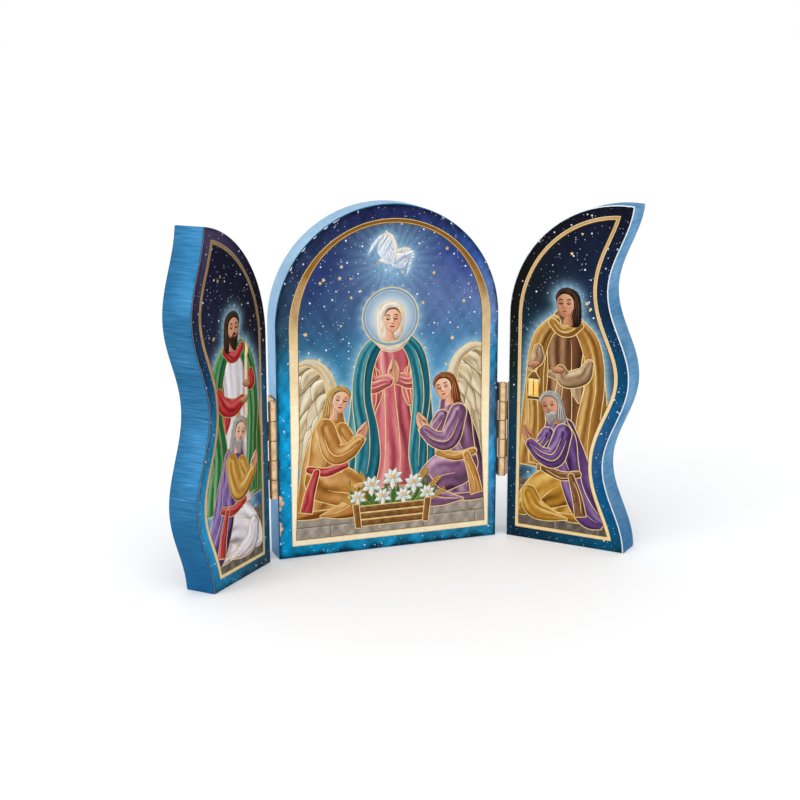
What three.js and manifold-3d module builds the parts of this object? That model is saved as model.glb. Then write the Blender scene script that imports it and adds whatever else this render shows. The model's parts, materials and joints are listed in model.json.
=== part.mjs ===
// Folding triptych altarpiece: an arched centre board and two wings that meet along a wavy cut
// when they are folded over it. Each board is painted wood with a printed picture on its front,
// and each wing hangs on a small nailed brass hinge. The wings stand half open.
//
// Millimetres, +Z up. The front faces -Y. The origin is the middle of the centre board's underside.

import * as THREE from 'three';
import { mergeVertices } from 'three/addons/utils/BufferGeometryUtils.js';
import Module from 'manifold-3d';

const wasm = await Module();
wasm.setup();

// ---- Driving dimensions ----

const PANEL_WIDTH = 80;
const PANEL_HEIGHT = 120;
const BOARD_THICKNESS = 10.9;
const EASED_EDGE = 0.4;          // chamfer sanded round both faces of a board
const PRINT_THICKNESS = 0.3;
const TOUCH_GAP = 0.3;           // between two pieces that rest on each other

const WAVE_HEIGHT = 4.2;         // how far the cut swings to each side of the middle
const WAVE_LENGTH = 60.8;
const SAW_KERF = 1.2;            // wood lost in the cut, all on the left wing's side
const LEFT_FOOT_TRIM = 1.5;      // cut off the left wing's foot, so its top stands lower

const LEFT_FOLD = 44;            // degrees that each wing stands forward of flat
const RIGHT_FOLD = 47.8;

const HINGE_GAP = 3.5;           // between the centre board and a wing
const HINGE_STANDOFF = 0.2;      // hinge axis in front of the pictures
const HINGE_BOTTOM = 22.3;
const HINGE_LENGTH = 33.7;
const KNUCKLE_COUNT = 5;
const KNUCKLE_GAP = 0.25;
const LEAF_THICKNESS = 0.5;
const LEAF_DEPTH = 9.2;          // back edge of a leaf, behind the hinge axis
const BORE_RADIUS = 0.9;
const PIN_RADIUS = 0.75;
const PIN_OVERHANG = 0.2;

const NAIL_SHANK_RADIUS = 0.45;
const NAIL_HEAD_RADIUS = 1.1;
const NAIL_HEAD_HEIGHT = 0.35;
const NAIL_LENGTH = 8;
const NAIL_TIP = 1;

// Segments of the round stretches
const HALF_CIRCLE_STEPS = 48;
const WAVE_STEP = 1.7;
const KNUCKLE_SIDES = 20;
const NAIL_SIDES = 10;

// ---- Derived sizes ----

const ARCH_RADIUS = PANEL_WIDTH / 2;
const SPRINGING = PANEL_HEIGHT - ARCH_RADIUS;   // height at which the arch starts
const HALF_GAP = HINGE_GAP / 2;
const PICTURE_STACK = PRINT_THICKNESS + TOUCH_GAP;
const AXIS_X = ARCH_RADIUS + HALF_GAP;
const AXIS_Y = -(BOARD_THICKNESS / 2 + PICTURE_STACK + HINGE_STANDOFF);
const LEAF_OUTER = HALF_GAP - TOUCH_GAP;        // from the axis to a leaf's face on the wood
const LEAF_INNER = LEAF_OUTER - LEAF_THICKNESS;
const LEAF_FRONT = LEAF_OUTER + TOUCH_GAP;      // clears the other leaf's knuckles
const KNUCKLE_PITCH = (HINGE_LENGTH + KNUCKLE_GAP) / KNUCKLE_COUNT;
const HOLE_RADIUS = NAIL_SHANK_RADIUS + TOUCH_GAP;
const NAIL_ROW = (LEAF_FRONT + LEAF_DEPTH) / 2;  // behind the hinge axis

// The free edge of each wing is one side of the wavy cut. The left wing is hollow where the
// right one bulges.
const WINGS = [
  { name: 'left', side: -1, bulge: -1, kerf: SAW_KERF, trim: LEFT_FOOT_TRIM, fold: LEFT_FOLD },
  { name: 'right', side: 1, bulge: 1, kerf: 0, trim: 0, fold: RIGHT_FOLD },
];
const PANEL_KNUCKLES = [0, 2, 4];
const WING_KNUCKLES = [1, 3];
const PANEL_NAILS = [0, 4];      // knuckles at whose heights each leaf is nailed
const WING_NAILS = [1, 3];

// ---- Materials ----

const bluePaint = new THREE.MeshStandardMaterial({ color: 0x5f93bd, roughness: 0.35, metalness: 0.5 });
const printedPaper = new THREE.MeshStandardMaterial({ color: 0x2b5f93, roughness: 0.3, metalness: 0 });
const brass = new THREE.MeshStandardMaterial({ color: 0xb08d4f, roughness: 0.35, metalness: 1 });

// ---- Solids ----

function toSolid(geometry) {
  const bare = geometry.clone();
  bare.deleteAttribute('normal');
  bare.deleteAttribute('uv');
  const merged = mergeVertices(bare);
  return new wasm.Manifold(new wasm.Mesh({
    numProp: 3,
    vertProperties: new Float32Array(merged.attributes.position.array),
    triVerts: new Uint32Array(merged.index.array),
  }));
}

function toGeometry(solid) {
  const { vertProperties, triVerts } = solid.getMesh();
  const geometry = new THREE.BufferGeometry();
  geometry.setAttribute('position', new THREE.BufferAttribute(new Float32Array(vertProperties), 3));
  geometry.setIndex(new THREE.BufferAttribute(new Uint32Array(triVerts), 1));
  geometry.computeVertexNormals();
  return geometry;
}

function mesh(name, geometry, material) {
  const piece = new THREE.Mesh(geometry, material.clone());
  piece.name = name;
  return piece;
}

function box(xRange, yRange, zRange) {
  const [width, depth, height] = [xRange, yRange, zRange].map(([low, high]) => high - low);
  const [x, y, z] = [xRange, yRange, zRange].map(([low, high]) => (low + high) / 2);
  return new THREE.BoxGeometry(width, depth, height).translate(x, y, z);
}

function uprightCylinder(radius, bottom, height) {
  const geometry = new THREE.CylinderGeometry(radius, radius, height, KNUCKLE_SIDES);
  return geometry.rotateX(Math.PI / 2).translate(0, 0, bottom + height / 2);
}

// A flat plate with an upright outline. Its front is at y = front, and chamfer eases both faces.
function uprightPlate(outline, front, thickness, chamfer) {
  const geometry = new THREE.ExtrudeGeometry(outline, {
    depth: thickness - 2 * chamfer,
    curveSegments: HALF_CIRCLE_STEPS,
    bevelEnabled: chamfer > 0,
    bevelThickness: chamfer,
    bevelSize: chamfer,
    bevelOffset: -chamfer,
    bevelSegments: 1,
  });
  return geometry.rotateX(Math.PI / 2).translate(0, front + thickness - chamfer, 0);
}

// ---- Outlines, drawn in the upright plane and set in by inset all round ----

function panelOutline(inset) {
  const half = ARCH_RADIUS - inset;
  const outline = new THREE.Shape();
  outline.moveTo(-half, inset);
  outline.lineTo(half, inset);
  outline.lineTo(half, SPRINGING);
  outline.absarc(0, SPRINGING, half, 0, Math.PI, false);
  return outline;
}

// Width of a wing at height z, from its hinged edge to its free edge
function wingWidth(wing, z, inset) {
  const phase = (2 * Math.PI * (z + wing.trim)) / WAVE_LENGTH;
  const slope = (WAVE_HEIGHT * 2 * Math.PI * Math.sin(phase)) / WAVE_LENGTH;
  const width = ARCH_RADIUS + wing.bulge * WAVE_HEIGHT * Math.cos(phase) - wing.kerf;
  return width - inset * Math.hypot(1, slope);
}

// Height at which the free edge runs into the arch
function wingTop(wing, inset) {
  const radius = ARCH_RADIUS - inset;
  const springing = SPRINGING - wing.trim;
  let top = springing + radius;
  for (let pass = 0; pass < 8; pass += 1) {
    const across = wingWidth(wing, top, inset) - ARCH_RADIUS;
    top = springing + Math.sqrt(radius ** 2 - across ** 2);
  }
  return top;
}

function wingOutline(wing, inset) {
  const toX = (u) => wing.side * (HALF_GAP + u);
  const top = wingTop(wing, inset);
  const springing = SPRINGING - wing.trim;
  const steps = Math.ceil((top - inset) / WAVE_STEP);
  const outline = new THREE.Shape();
  outline.moveTo(toX(inset), inset);
  for (let step = 0; step <= steps; step += 1) {
    const z = inset + ((top - inset) * step) / steps;
    outline.lineTo(toX(wingWidth(wing, z, inset)), z);
  }
  const start = Math.atan2(top - springing, wing.side * (wingWidth(wing, top, inset) - ARCH_RADIUS));
  const end = wing.side > 0 ? Math.PI : 0;
  outline.absarc(toX(ARCH_RADIUS), springing, ARCH_RADIUS - inset, start, end, wing.side < 0);
  return outline;
}

// ---- Hinges, drawn with the hinge axis at x = y = 0 ----

function knuckleBottom(index) {
  return HINGE_BOTTOM + index * KNUCKLE_PITCH;
}

function nailHeight(index) {
  return knuckleBottom(index) + (KNUCKLE_PITCH - KNUCKLE_GAP) / 2;
}

// A clearance hole for a nail, across the leaf and into the wood
function nailHole(toward, index) {
  const length = NAIL_LENGTH + 2 * TOUCH_GAP;
  const hole = new THREE.CylinderGeometry(HOLE_RADIUS, HOLE_RADIUS, length, NAIL_SIDES);
  hole.rotateZ(Math.PI / 2).translate(toward * (LEAF_INNER + length / 2), NAIL_ROW, nailHeight(index));
  return toSolid(hole);
}

// toward is the side of the axis on which the leaf lies: 1 for +X, -1 for -X
function leafGeometry(toward, knuckles, nails) {
  const faces = [toward * LEAF_INNER, toward * LEAF_OUTER].sort((a, b) => a - b);
  const knuckleHeight = KNUCKLE_PITCH - KNUCKLE_GAP;
  let leaf = toSolid(box(faces, [LEAF_FRONT, LEAF_DEPTH], [HINGE_BOTTOM, HINGE_BOTTOM + HINGE_LENGTH]));
  for (const index of knuckles) {
    const bottom = knuckleBottom(index);
    const tab = toSolid(box(faces, [0, LEAF_FRONT + LEAF_THICKNESS], [bottom, bottom + knuckleHeight]));
    leaf = leaf.add(tab).add(toSolid(uprightCylinder(LEAF_OUTER, bottom, knuckleHeight)));
  }
  leaf = leaf.subtract(toSolid(uprightCylinder(BORE_RADIUS, 0, PANEL_HEIGHT)));
  for (const index of nails) {
    leaf = leaf.subtract(nailHole(toward, index));
  }
  return toGeometry(leaf);
}

function pinGeometry() {
  const bottom = HINGE_BOTTOM - PIN_OVERHANG;
  const top = HINGE_BOTTOM + HINGE_LENGTH + PIN_OVERHANG;
  const profile = [
    [0, bottom],
    [PIN_RADIUS / 2, bottom],
    [PIN_RADIUS, bottom + PIN_RADIUS / 2],
    [PIN_RADIUS, top - PIN_RADIUS / 2],
    [PIN_RADIUS / 2, top],
    [0, top],
  ];
  const points = profile.map(([r, z]) => new THREE.Vector2(r, z));
  return new THREE.LatheGeometry(points, KNUCKLE_SIDES).rotateX(Math.PI / 2);
}

// A round-headed nail driven into the wood through a leaf
function nailGeometry(toward, index) {
  const headSeat = LEAF_INNER - TOUCH_GAP;
  const tip = headSeat + NAIL_LENGTH;
  const profile = [
    [0, headSeat - NAIL_HEAD_HEIGHT],
    [NAIL_HEAD_RADIUS * 0.7, headSeat - NAIL_HEAD_HEIGHT * 0.7],
    [NAIL_HEAD_RADIUS, headSeat],
    [NAIL_SHANK_RADIUS, headSeat],
    [NAIL_SHANK_RADIUS, tip - NAIL_TIP],
    [0, tip],
  ];
  const points = profile.map(([r, along]) => new THREE.Vector2(r, along));
  const nail = new THREE.LatheGeometry(points, NAIL_SIDES);
  return nail.rotateZ((-toward * Math.PI) / 2).translate(0, NAIL_ROW, nailHeight(index));
}

function addHingeHalf(group, prefix, toward, knuckles, nails) {
  group.add(mesh(`${prefix}_leaf`, leafGeometry(toward, knuckles, nails), brass));
  nails.forEach((index, order) => {
    const place = order === 0 ? 'lower' : 'upper';
    group.add(mesh(`${prefix}_nail_${place}`, nailGeometry(toward, index), brass));
  });
}

// ---- Centre board with its picture, the fixed hinge leaves and the hinge pins ----

function centrePanel() {
  const group = new THREE.Group();
  let board = toSolid(uprightPlate(panelOutline(0), -BOARD_THICKNESS / 2, BOARD_THICKNESS, EASED_EDGE));
  for (const wing of WINGS) {
    for (const index of PANEL_NAILS) {
      board = board.subtract(nailHole(-wing.side, index).translate([wing.side * AXIS_X, AXIS_Y, 0]));
    }
    const hinge = new THREE.Group();
    hinge.position.set(wing.side * AXIS_X, AXIS_Y, 0);
    addHingeHalf(hinge, `${wing.name}_hinge_panel`, -wing.side, PANEL_KNUCKLES, PANEL_NAILS);
    hinge.add(mesh(`${wing.name}_hinge_pin`, pinGeometry(), brass));
    group.add(hinge);
  }
  const print = uprightPlate(
    panelOutline(EASED_EDGE), -BOARD_THICKNESS / 2 - PICTURE_STACK, PRINT_THICKNESS, 0);
  group.add(mesh('center_board', toGeometry(board), bluePaint));
  group.add(mesh('center_print', print, printedPaper));
  return group;
}

// ---- A wing with its picture and its hinge leaf, drawn flat and turned about the hinge axis ----

function wingPanel(wing) {
  const group = new THREE.Group();
  const boardFront = HINGE_STANDOFF + PICTURE_STACK;
  let board = toSolid(uprightPlate(wingOutline(wing, 0), boardFront, BOARD_THICKNESS, EASED_EDGE));
  for (const index of WING_NAILS) {
    board = board.subtract(nailHole(wing.side, index));
  }
  const print = uprightPlate(wingOutline(wing, EASED_EDGE), HINGE_STANDOFF, PRINT_THICKNESS, 0);
  group.add(mesh(`${wing.name}_board`, toGeometry(board), bluePaint));
  group.add(mesh(`${wing.name}_print`, print, printedPaper));
  addHingeHalf(group, `${wing.name}_hinge_wing`, wing.side, WING_KNUCKLES, WING_NAILS);
  group.position.set(wing.side * AXIS_X, AXIS_Y, 0);
  group.rotation.z = -wing.side * THREE.MathUtils.degToRad(wing.fold);
  return group;
}

const triptych = new THREE.Group();
triptych.add(centrePanel(), ...WINGS.map(wingPanel));

export default triptych;
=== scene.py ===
"""Looks of a folding wooden triptych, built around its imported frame.

Boards in brushed metallic paint, printed pictures with gold foil lines, and small brass hinges.
Everything is in metres in the row frame: +X to the viewer's right, +Y out of the back, +Z up.
"""
from __future__ import annotations

import json
import logging
import math
from dataclasses import dataclass, field
from enum import Enum
from typing import Callable, Iterable, Sequence, Union

import bmesh
import bpy
import numpy as np
from bpy.types import ID, Material, Mesh, Node, NodeSocket, NodeTree, Object
from mathutils import Matrix, Vector
from mathutils.geometry import delaunay_2d_cdt
from mathutils.kdtree import KDTree


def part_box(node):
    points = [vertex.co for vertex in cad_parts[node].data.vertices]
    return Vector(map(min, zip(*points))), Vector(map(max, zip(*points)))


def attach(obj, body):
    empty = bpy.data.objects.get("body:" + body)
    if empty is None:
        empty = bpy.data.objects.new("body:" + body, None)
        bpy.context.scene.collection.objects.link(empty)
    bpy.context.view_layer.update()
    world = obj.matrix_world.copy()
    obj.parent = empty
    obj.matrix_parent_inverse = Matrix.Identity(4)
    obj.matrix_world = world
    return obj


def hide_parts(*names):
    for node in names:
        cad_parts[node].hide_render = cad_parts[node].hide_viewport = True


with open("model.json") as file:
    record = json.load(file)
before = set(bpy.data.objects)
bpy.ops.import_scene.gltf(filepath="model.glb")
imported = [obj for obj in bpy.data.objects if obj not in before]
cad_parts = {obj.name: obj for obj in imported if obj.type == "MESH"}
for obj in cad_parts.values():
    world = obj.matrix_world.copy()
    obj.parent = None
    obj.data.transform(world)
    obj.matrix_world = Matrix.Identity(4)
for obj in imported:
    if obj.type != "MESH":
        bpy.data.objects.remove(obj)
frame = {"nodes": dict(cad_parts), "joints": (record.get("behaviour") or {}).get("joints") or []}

logging.basicConfig(level=logging.INFO, format="%(message)s")
LOG = logging.getLogger("triptych")

MM = 0.001
SHARP_EDGE = math.radians(40)
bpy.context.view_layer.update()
Array = np.ndarray
Triple = tuple[float, float, float]
Points = Sequence[Sequence[float]]


# ---- colours and node graphs


def linear(code: str) -> Array:
    """Turn a hex colour into linear light.

    Args:
        code: Six hex digits, such as "2b5f93".

    Returns:
        Red, green and blue in linear light.
    """
    srgb = np.array([int(code[i:i + 2], 16) for i in (0, 2, 4)]) / 255
    return np.where(srgb <= 0.04045, srgb / 12.92, ((srgb + 0.055) / 1.055) ** 2.4)


def rgba(code: str) -> tuple[float, ...]:
    """Give a hex colour as the four numbers that a colour socket takes."""
    return (*linear(code), 1.0)


Operand = Union["Value", float, int, tuple, str]
Inputs = dict[Union[str, int], Operand]


@dataclass(frozen=True)
class Value:
    """A node socket that takes part in Python expressions on numbers."""

    graph: Graph
    socket: NodeSocket

    def math(self, operation: str, *others: Operand) -> Value:
        """Pass this value, then the others, through a Math node."""
        return self.graph.math(operation, self, *others)

    def __add__(self, other: Operand) -> Value:
        """Add."""
        return self.math("ADD", other)

    __radd__ = __add__

    def __sub__(self, other: Operand) -> Value:
        """Subtract."""
        return self.math("SUBTRACT", other)

    def __rsub__(self, other: Operand) -> Value:
        """Subtract from a number."""
        return self.graph.math("SUBTRACT", other, self)

    def __mul__(self, other: Operand) -> Value:
        """Multiply."""
        return self.math("MULTIPLY", other)

    __rmul__ = __mul__

    def __truediv__(self, other: Operand) -> Value:
        """Divide."""
        return self.math("DIVIDE", other)

    def __lt__(self, other: Operand) -> Value:
        """Give 1 where this value is the smaller, else 0."""
        return self.math("LESS_THAN", other)

    def clamped(self) -> Value:
        """Keep the value between 0 and 1."""
        return self.graph.node("ShaderNodeClamp", inputs={"Value": self})

    def ramp(self, low: float, high: float) -> Value:
        """Rise smoothly from 0 at low to 1 at high."""
        settings = {"interpolation_type": "SMOOTHSTEP"}
        spans = {"Value": self, "From Min": low, "From Max": high, "To Min": 0.0, "To Max": 1.0}
        return self.graph.node("ShaderNodeMapRange", spans, settings)


class Graph:
    """A node tree that is written as expressions. It serves shaders and Geometry Nodes alike."""

    def __init__(self, tree: NodeTree) -> None:
        """Take an empty tree."""
        self.tree = tree

    def place(self, kind: str, inputs: Inputs | None = None, settings: dict | None = None) -> Node:
        """Add a node, set it up and fill its inputs.

        Args:
            kind: The node's type.
            inputs: Values or links, by socket number, identifier or name.
            settings: The node's own properties, set before its inputs.

        Returns:
            The new node.
        """
        node = self.tree.nodes.new(kind)
        for name, setting in (settings or {}).items():
            setattr(node, name, setting)
        self.fill(node, inputs or {})
        return node

    def fill(self, node: Node, inputs: Inputs) -> None:
        """Fill some of a node's inputs with values or links."""
        for key, operand in inputs.items():
            self.feed(self.find(node.inputs, key), operand)

    def node(self, kind: str, inputs: Inputs | None = None, settings: dict | None = None,
             output: str | int = 0) -> Value:
        """Add a node as place does, and give one of its outputs as a Value."""
        node = self.place(kind, inputs, settings)
        return Value(self, self.find(node.outputs, output))

    @staticmethod
    def find(sockets: Iterable, key: str | int) -> NodeSocket:
        """Find a socket by its number, its identifier or its name.

        Args:
            sockets: A node's inputs or outputs.
            key: What to look for.

        Returns:
            The socket.
        """
        if isinstance(key, int):
            return sockets[key]
        for socket in sockets:
            if socket.identifier == key:
                return socket
        return sockets[key]

    def feed(self, socket: NodeSocket, operand: Operand) -> None:
        """Link a Value into a socket, or set the socket to a plain value."""
        if isinstance(operand, Value):
            self.tree.links.new(operand.socket, socket)
        else:
            socket.default_value = operand

    def math(self, operation: str, *operands: Operand) -> Value:
        """Add a Math node."""
        return self.node("ShaderNodeMath", dict(enumerate(operands)), {"operation": operation})

    def mix(self, factor: Operand, first: Operand, second: Operand, blend: str = "MIX") -> Value:
        """Blend two colours, from first at factor 0 to second at factor 1."""
        inputs = {"Factor_Float": factor, "A_Color": first, "B_Color": second}
        settings = {"data_type": "RGBA", "blend_type": blend}
        return self.node("ShaderNodeMix", inputs, settings, "Result_Color")

    def attribute(self, name: str, output: str) -> Value:
        """Read one of the piece's own attributes."""
        return self.node("ShaderNodeAttribute", None, {"attribute_name": name}, output)

    def noise(self, where: Operand, scale: float, detail: float = 3.0) -> Value:
        """Sample smooth noise at a place, with scale in features for each metre."""
        return self.node("ShaderNodeTexNoise", {"Vector": where, "Scale": scale, "Detail": detail})

    def stretched(self, where: Value, scale: Triple) -> Value:
        """Stretch or squeeze a place along its axes."""
        return self.node("ShaderNodeMapping", {"Vector": where, "Scale": scale})

    def vector(self, x: Operand = 0.0, y: Operand = 0.0, z: Operand = 0.0) -> Value:
        """Join three numbers into a vector."""
        return self.node("ShaderNodeCombineXYZ", {0: x, 1: y, 2: z})

    def shaded(self, colour: Operand, shade: Value) -> Value:
        """Multiply a colour by a brightness."""
        grey = self.node("ShaderNodeCombineColor", {0: shade, 1: shade, 2: shade})
        return self.mix(1.0, colour, grey, "MULTIPLY")

    def bump(self, height: Value, strength: float, depth: float) -> Value:
        """Give the normals of a relief that is depth metres deep where the height is 1."""
        return self.node("ShaderNodeBump", {"Strength": strength, "Distance": depth, "Height": height})

    def joined(self, *parts: Value) -> Value:
        """Join geometries."""
        join = self.tree.nodes.new("GeometryNodeJoinGeometry")
        for part in parts:
            self.tree.links.new(part.socket, join.inputs[0])
        return Value(self, join.outputs[0])


def new_material(name: str) -> tuple[Material, Graph, Node]:
    """Start a material with an empty graph but for its surface shader.

    Args:
        name: The material's name.

    Returns:
        The material, its graph and its Principled BSDF.
    """
    material = bpy.data.materials.new(name)
    material.use_nodes = True
    material.node_tree.nodes.clear()
    graph = Graph(material.node_tree)
    surface = graph.place("ShaderNodeBsdfPrincipled")
    graph.place("ShaderNodeOutputMaterial", {"Surface": Value(graph, surface.outputs["BSDF"])})
    return material, graph, surface


# ---- finishes


@dataclass(frozen=True)
class BrushedPaint:
    """Pearly blue paint on wood, brushed across the thickness of each board's edge.

    The tone runs from deep at 0 through middle to pale at 1. A paleness over 1 blends to near-white, a
    painted highlight on the right wing's front edge. Each board's paleness and the darkening at the foot are
    painted light and shade.
    """

    deep: str = "00466c"
    middle: str = "397daa"
    pale: str = "c3e2f8"
    bare: str = "f4f1ea"
    # The deep tone that the paint turns to near each board's foot, a painted shade.
    foot: str = "005486"
    edge_tint: str = "7fb8e0"
    streaks_across: float = 2100.0
    streaks_along: float = 120.0
    clouds: float = 90.0
    flakes: float = 9000.0
    least_contrast: float = 0.16
    foot_height: float = 0.045
    foot_share: float = 0.58
    roughness: float = 0.30
    metallic: float = 0.74
    coat: float = 0.06
    coat_roughness: float = 0.22
    relief: float = 0.34
    relief_depth: float = 0.00025

    def build(self) -> Material:
        """Make the paint.

        Returns:
            The material, which reads the attributes "place", "side" and "pale".
        """
        material, graph, surface = new_material("brushed_blue_paint")
        place = graph.attribute("place", "Vector")
        side = graph.attribute("side", "Fac")
        pale = graph.attribute("pale", "Fac")
        across = graph.stretched(place, (self.streaks_across, self.streaks_along, self.streaks_across))
        upright = graph.stretched(place, (self.streaks_across, self.streaks_across, self.streaks_along))
        streak = graph.noise(across, 1.0, 4.0) * side + graph.noise(upright, 1.0, 4.0) * (1 - side)
        cloud = graph.noise(place, self.clouds, 2.0)
        flake = graph.noise(place, self.flakes, 1.0)
        contrast = (1.25 - 1.5 * pale).math("MAXIMUM", self.least_contrast)
        tone = pale + contrast * (1.1 * (streak - 0.5) + 0.35 * (flake - 0.5)) + 0.35 * (cloud - 0.5)
        colour = graph.mix((2 * tone).clamped(), rgba(self.deep), rgba(self.middle))
        colour = graph.mix((2 * tone - 1).clamped(), colour, rgba(self.pale))
        # Painted shade: every board's paint darkens towards its foot, as if shaded near the floor.
        height = Value(graph, graph.place("ShaderNodeSeparateXYZ", {0: place}).outputs[2])
        low = self.foot_share * (1 - height.ramp(0.0, self.foot_height))
        colour = graph.mix(low, colour, rgba(self.foot))
        relief = 0.6 * streak + 0.25 * flake + 0.15 * cloud
        # Paleness over 1 mixes towards near-white: a painted highlight on the right wing's front edge.
        graph.fill(surface, {
            "Base Color": graph.mix((pale - 1).clamped(), colour, rgba(self.bare)),
            "Roughness": (self.roughness + 0.22 * streak + 0.06 * flake).clamped(),
            "Metallic": self.metallic, "Specular Tint": rgba(self.edge_tint),
            "Coat Weight": self.coat, "Coat Roughness": self.coat_roughness,
            "Normal": graph.bump(relief, self.relief, self.relief_depth)})
        return material


@dataclass(frozen=True)
class GlossPrint:
    """Glossy printed paper. Foil is metal, and the night sky carries fine white stars."""

    star_colour: str = "dfe9ff"
    star_cells: float = 520.0
    speck_cells: float = 1150.0
    mottles: float = 420.0
    foil_flecks: float = 1500.0
    grains: float = 2600.0
    roughness: float = 0.24
    sheen: float = 0.06
    relief: float = 0.05
    relief_depth: float = 0.0001

    def stars(self, graph: Graph, place: Value, cells: float, share: float, size: float) -> Value:
        """Scatter soft round stars.

        Args:
            graph: The material's graph.
            place: Where the surface is on its sheet.
            cells: Cells for each metre, one star at most in each.
            share: How many of the cells hold a star.
            size: The largest star's radius, as a share of a cell.

        Returns:
            Brightness from 0 to 1.
        """
        settings = {"voronoi_dimensions": "3D", "feature": "F1"}
        cell = graph.place("ShaderNodeTexVoronoi", {"Vector": place, "Scale": cells}, settings)
        parts = graph.place("ShaderNodeSeparateColor", {0: Value(graph, cell.outputs["Color"])})
        lucky = Value(graph, parts.outputs[0]) < share
        radius = size * (0.5 + 0.5 * Value(graph, parts.outputs[1]))
        near = 1 - Value(graph, cell.outputs["Distance"]) / radius
        return lucky * (near * 2.2).clamped()

    def build(self) -> Material:
        """Make the print.

        Returns:
            The material, which reads the attributes "place", "tint" and "marks".
        """
        material, graph, surface = new_material("gloss_print_with_foil")
        place = graph.attribute("place", "Vector")
        tint = graph.attribute("tint", "Color")
        marks = graph.place("ShaderNodeSeparateColor", {0: graph.attribute("marks", "Color")})
        foil, starry, worn = (Value(graph, marks.outputs[index]) for index in range(3))
        grain = graph.noise(place, self.grains)
        mottle = graph.noise(place, self.mottles, 4.0)
        fleck = graph.noise(place, self.foil_flecks) - 0.5
        shade = (0.90 + 0.20 * mottle) + 0.16 * (grain - 0.5) + 0.4 * foil * fleck
        flat_place = graph.stretched(place, (1.0, 0.0, 1.0))
        stars = self.stars(graph, flat_place, self.star_cells, share=0.55, size=0.2)
        specks = self.stars(graph, flat_place, self.speck_cells, share=0.4, size=0.24)
        light = (stars + specks * 0.6) * starry
        roughness = self.roughness + 0.14 * foil + 0.45 * worn + 0.10 * (mottle - 0.5) + 0.3 * foil * fleck
        graph.fill(surface, {
            "Base Color": graph.mix(light.clamped(), graph.shaded(tint, shade), rgba(self.star_colour)),
            "Metallic": foil, "Roughness": roughness.clamped(), "Specular IOR Level": self.sheen,
            "Normal": graph.bump(grain * 0.5 + mottle * 0.5, self.relief, self.relief_depth)})
        return material


@dataclass(frozen=True)
class SatinBrass:
    """Rolled brass sheet, a little tarnished."""

    bright: str = "ecca9e"
    tarnish: str = "a57c50"
    patches: float = 420.0
    scratches: float = 5200.0
    roughness: float = 0.26
    relief: float = 0.12
    relief_depth: float = 0.0001

    def build(self) -> Material:
        """Make the brass.

        Returns:
            The material, which reads Object coordinates.
        """
        material, graph, surface = new_material("satin_brass")
        place = graph.node("ShaderNodeTexCoord", output="Object")
        patch = graph.noise(place, self.patches, 4.0).ramp(0.42, 0.72)
        fine = graph.noise(graph.stretched(place, (1.0, 1.0, 0.12)), self.scratches, 2.0)
        tone = (0.5 * patch + 0.35 * (fine - 0.5)).clamped()
        graph.fill(surface, {
            "Base Color": graph.mix(tone, rgba(self.bright), rgba(self.tarnish)),
            "Roughness": (self.roughness + 0.26 * patch + 0.12 * fine).clamped(), "Metallic": 1.0,
            "Normal": graph.bump(fine, self.relief, self.relief_depth)})
        return material


@dataclass(frozen=True)
class PaleFloor:
    """A matt, nearly white studio floor."""

    colour: str = "fafafa"
    roughness: float = 0.65

    def build(self) -> Material:
        """Make the floor's material.

        Returns:
            The material, which reads Object coordinates.
        """
        material, graph, surface = new_material("pale_floor")
        place = graph.node("ShaderNodeTexCoord", output="Object")
        faint = graph.noise(place, 6.0, 2.0) * 0.02 + 0.98
        colour = graph.shaded(rgba(self.colour), faint)
        graph.fill(surface, {"Base Color": colour, "Roughness": self.roughness})
        return material


# ---- sizes


class Side(Enum):
    """Which board a piece belongs to. A wing's value is the way it lies along +X."""

    CENTER = 0
    LEFT = -1
    RIGHT = 1

    @property
    def label(self) -> str:
        """Give the word that the names of the board's pieces start with."""
        return self.name.lower()

    @property
    def body(self) -> str:
        """Give the moving body that the board belongs to."""
        return "center" if self is Side.CENTER else f"{self.label}_wing"


def polar(angle: Array, radius: Array | float, x: float = 0.0, z: float = 0.0) -> Array:
    """Give the points at some angles and distances about a middle, as rows of x and z."""
    return np.stack([x + radius * np.cos(angle), z + radius * np.sin(angle)], 1)


def heading(degrees: float) -> Array:
    """Give the unit vector that lies some degrees counter-clockwise from +x."""
    turn = math.radians(degrees)
    return np.array([math.cos(turn), math.sin(turn)])


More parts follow.
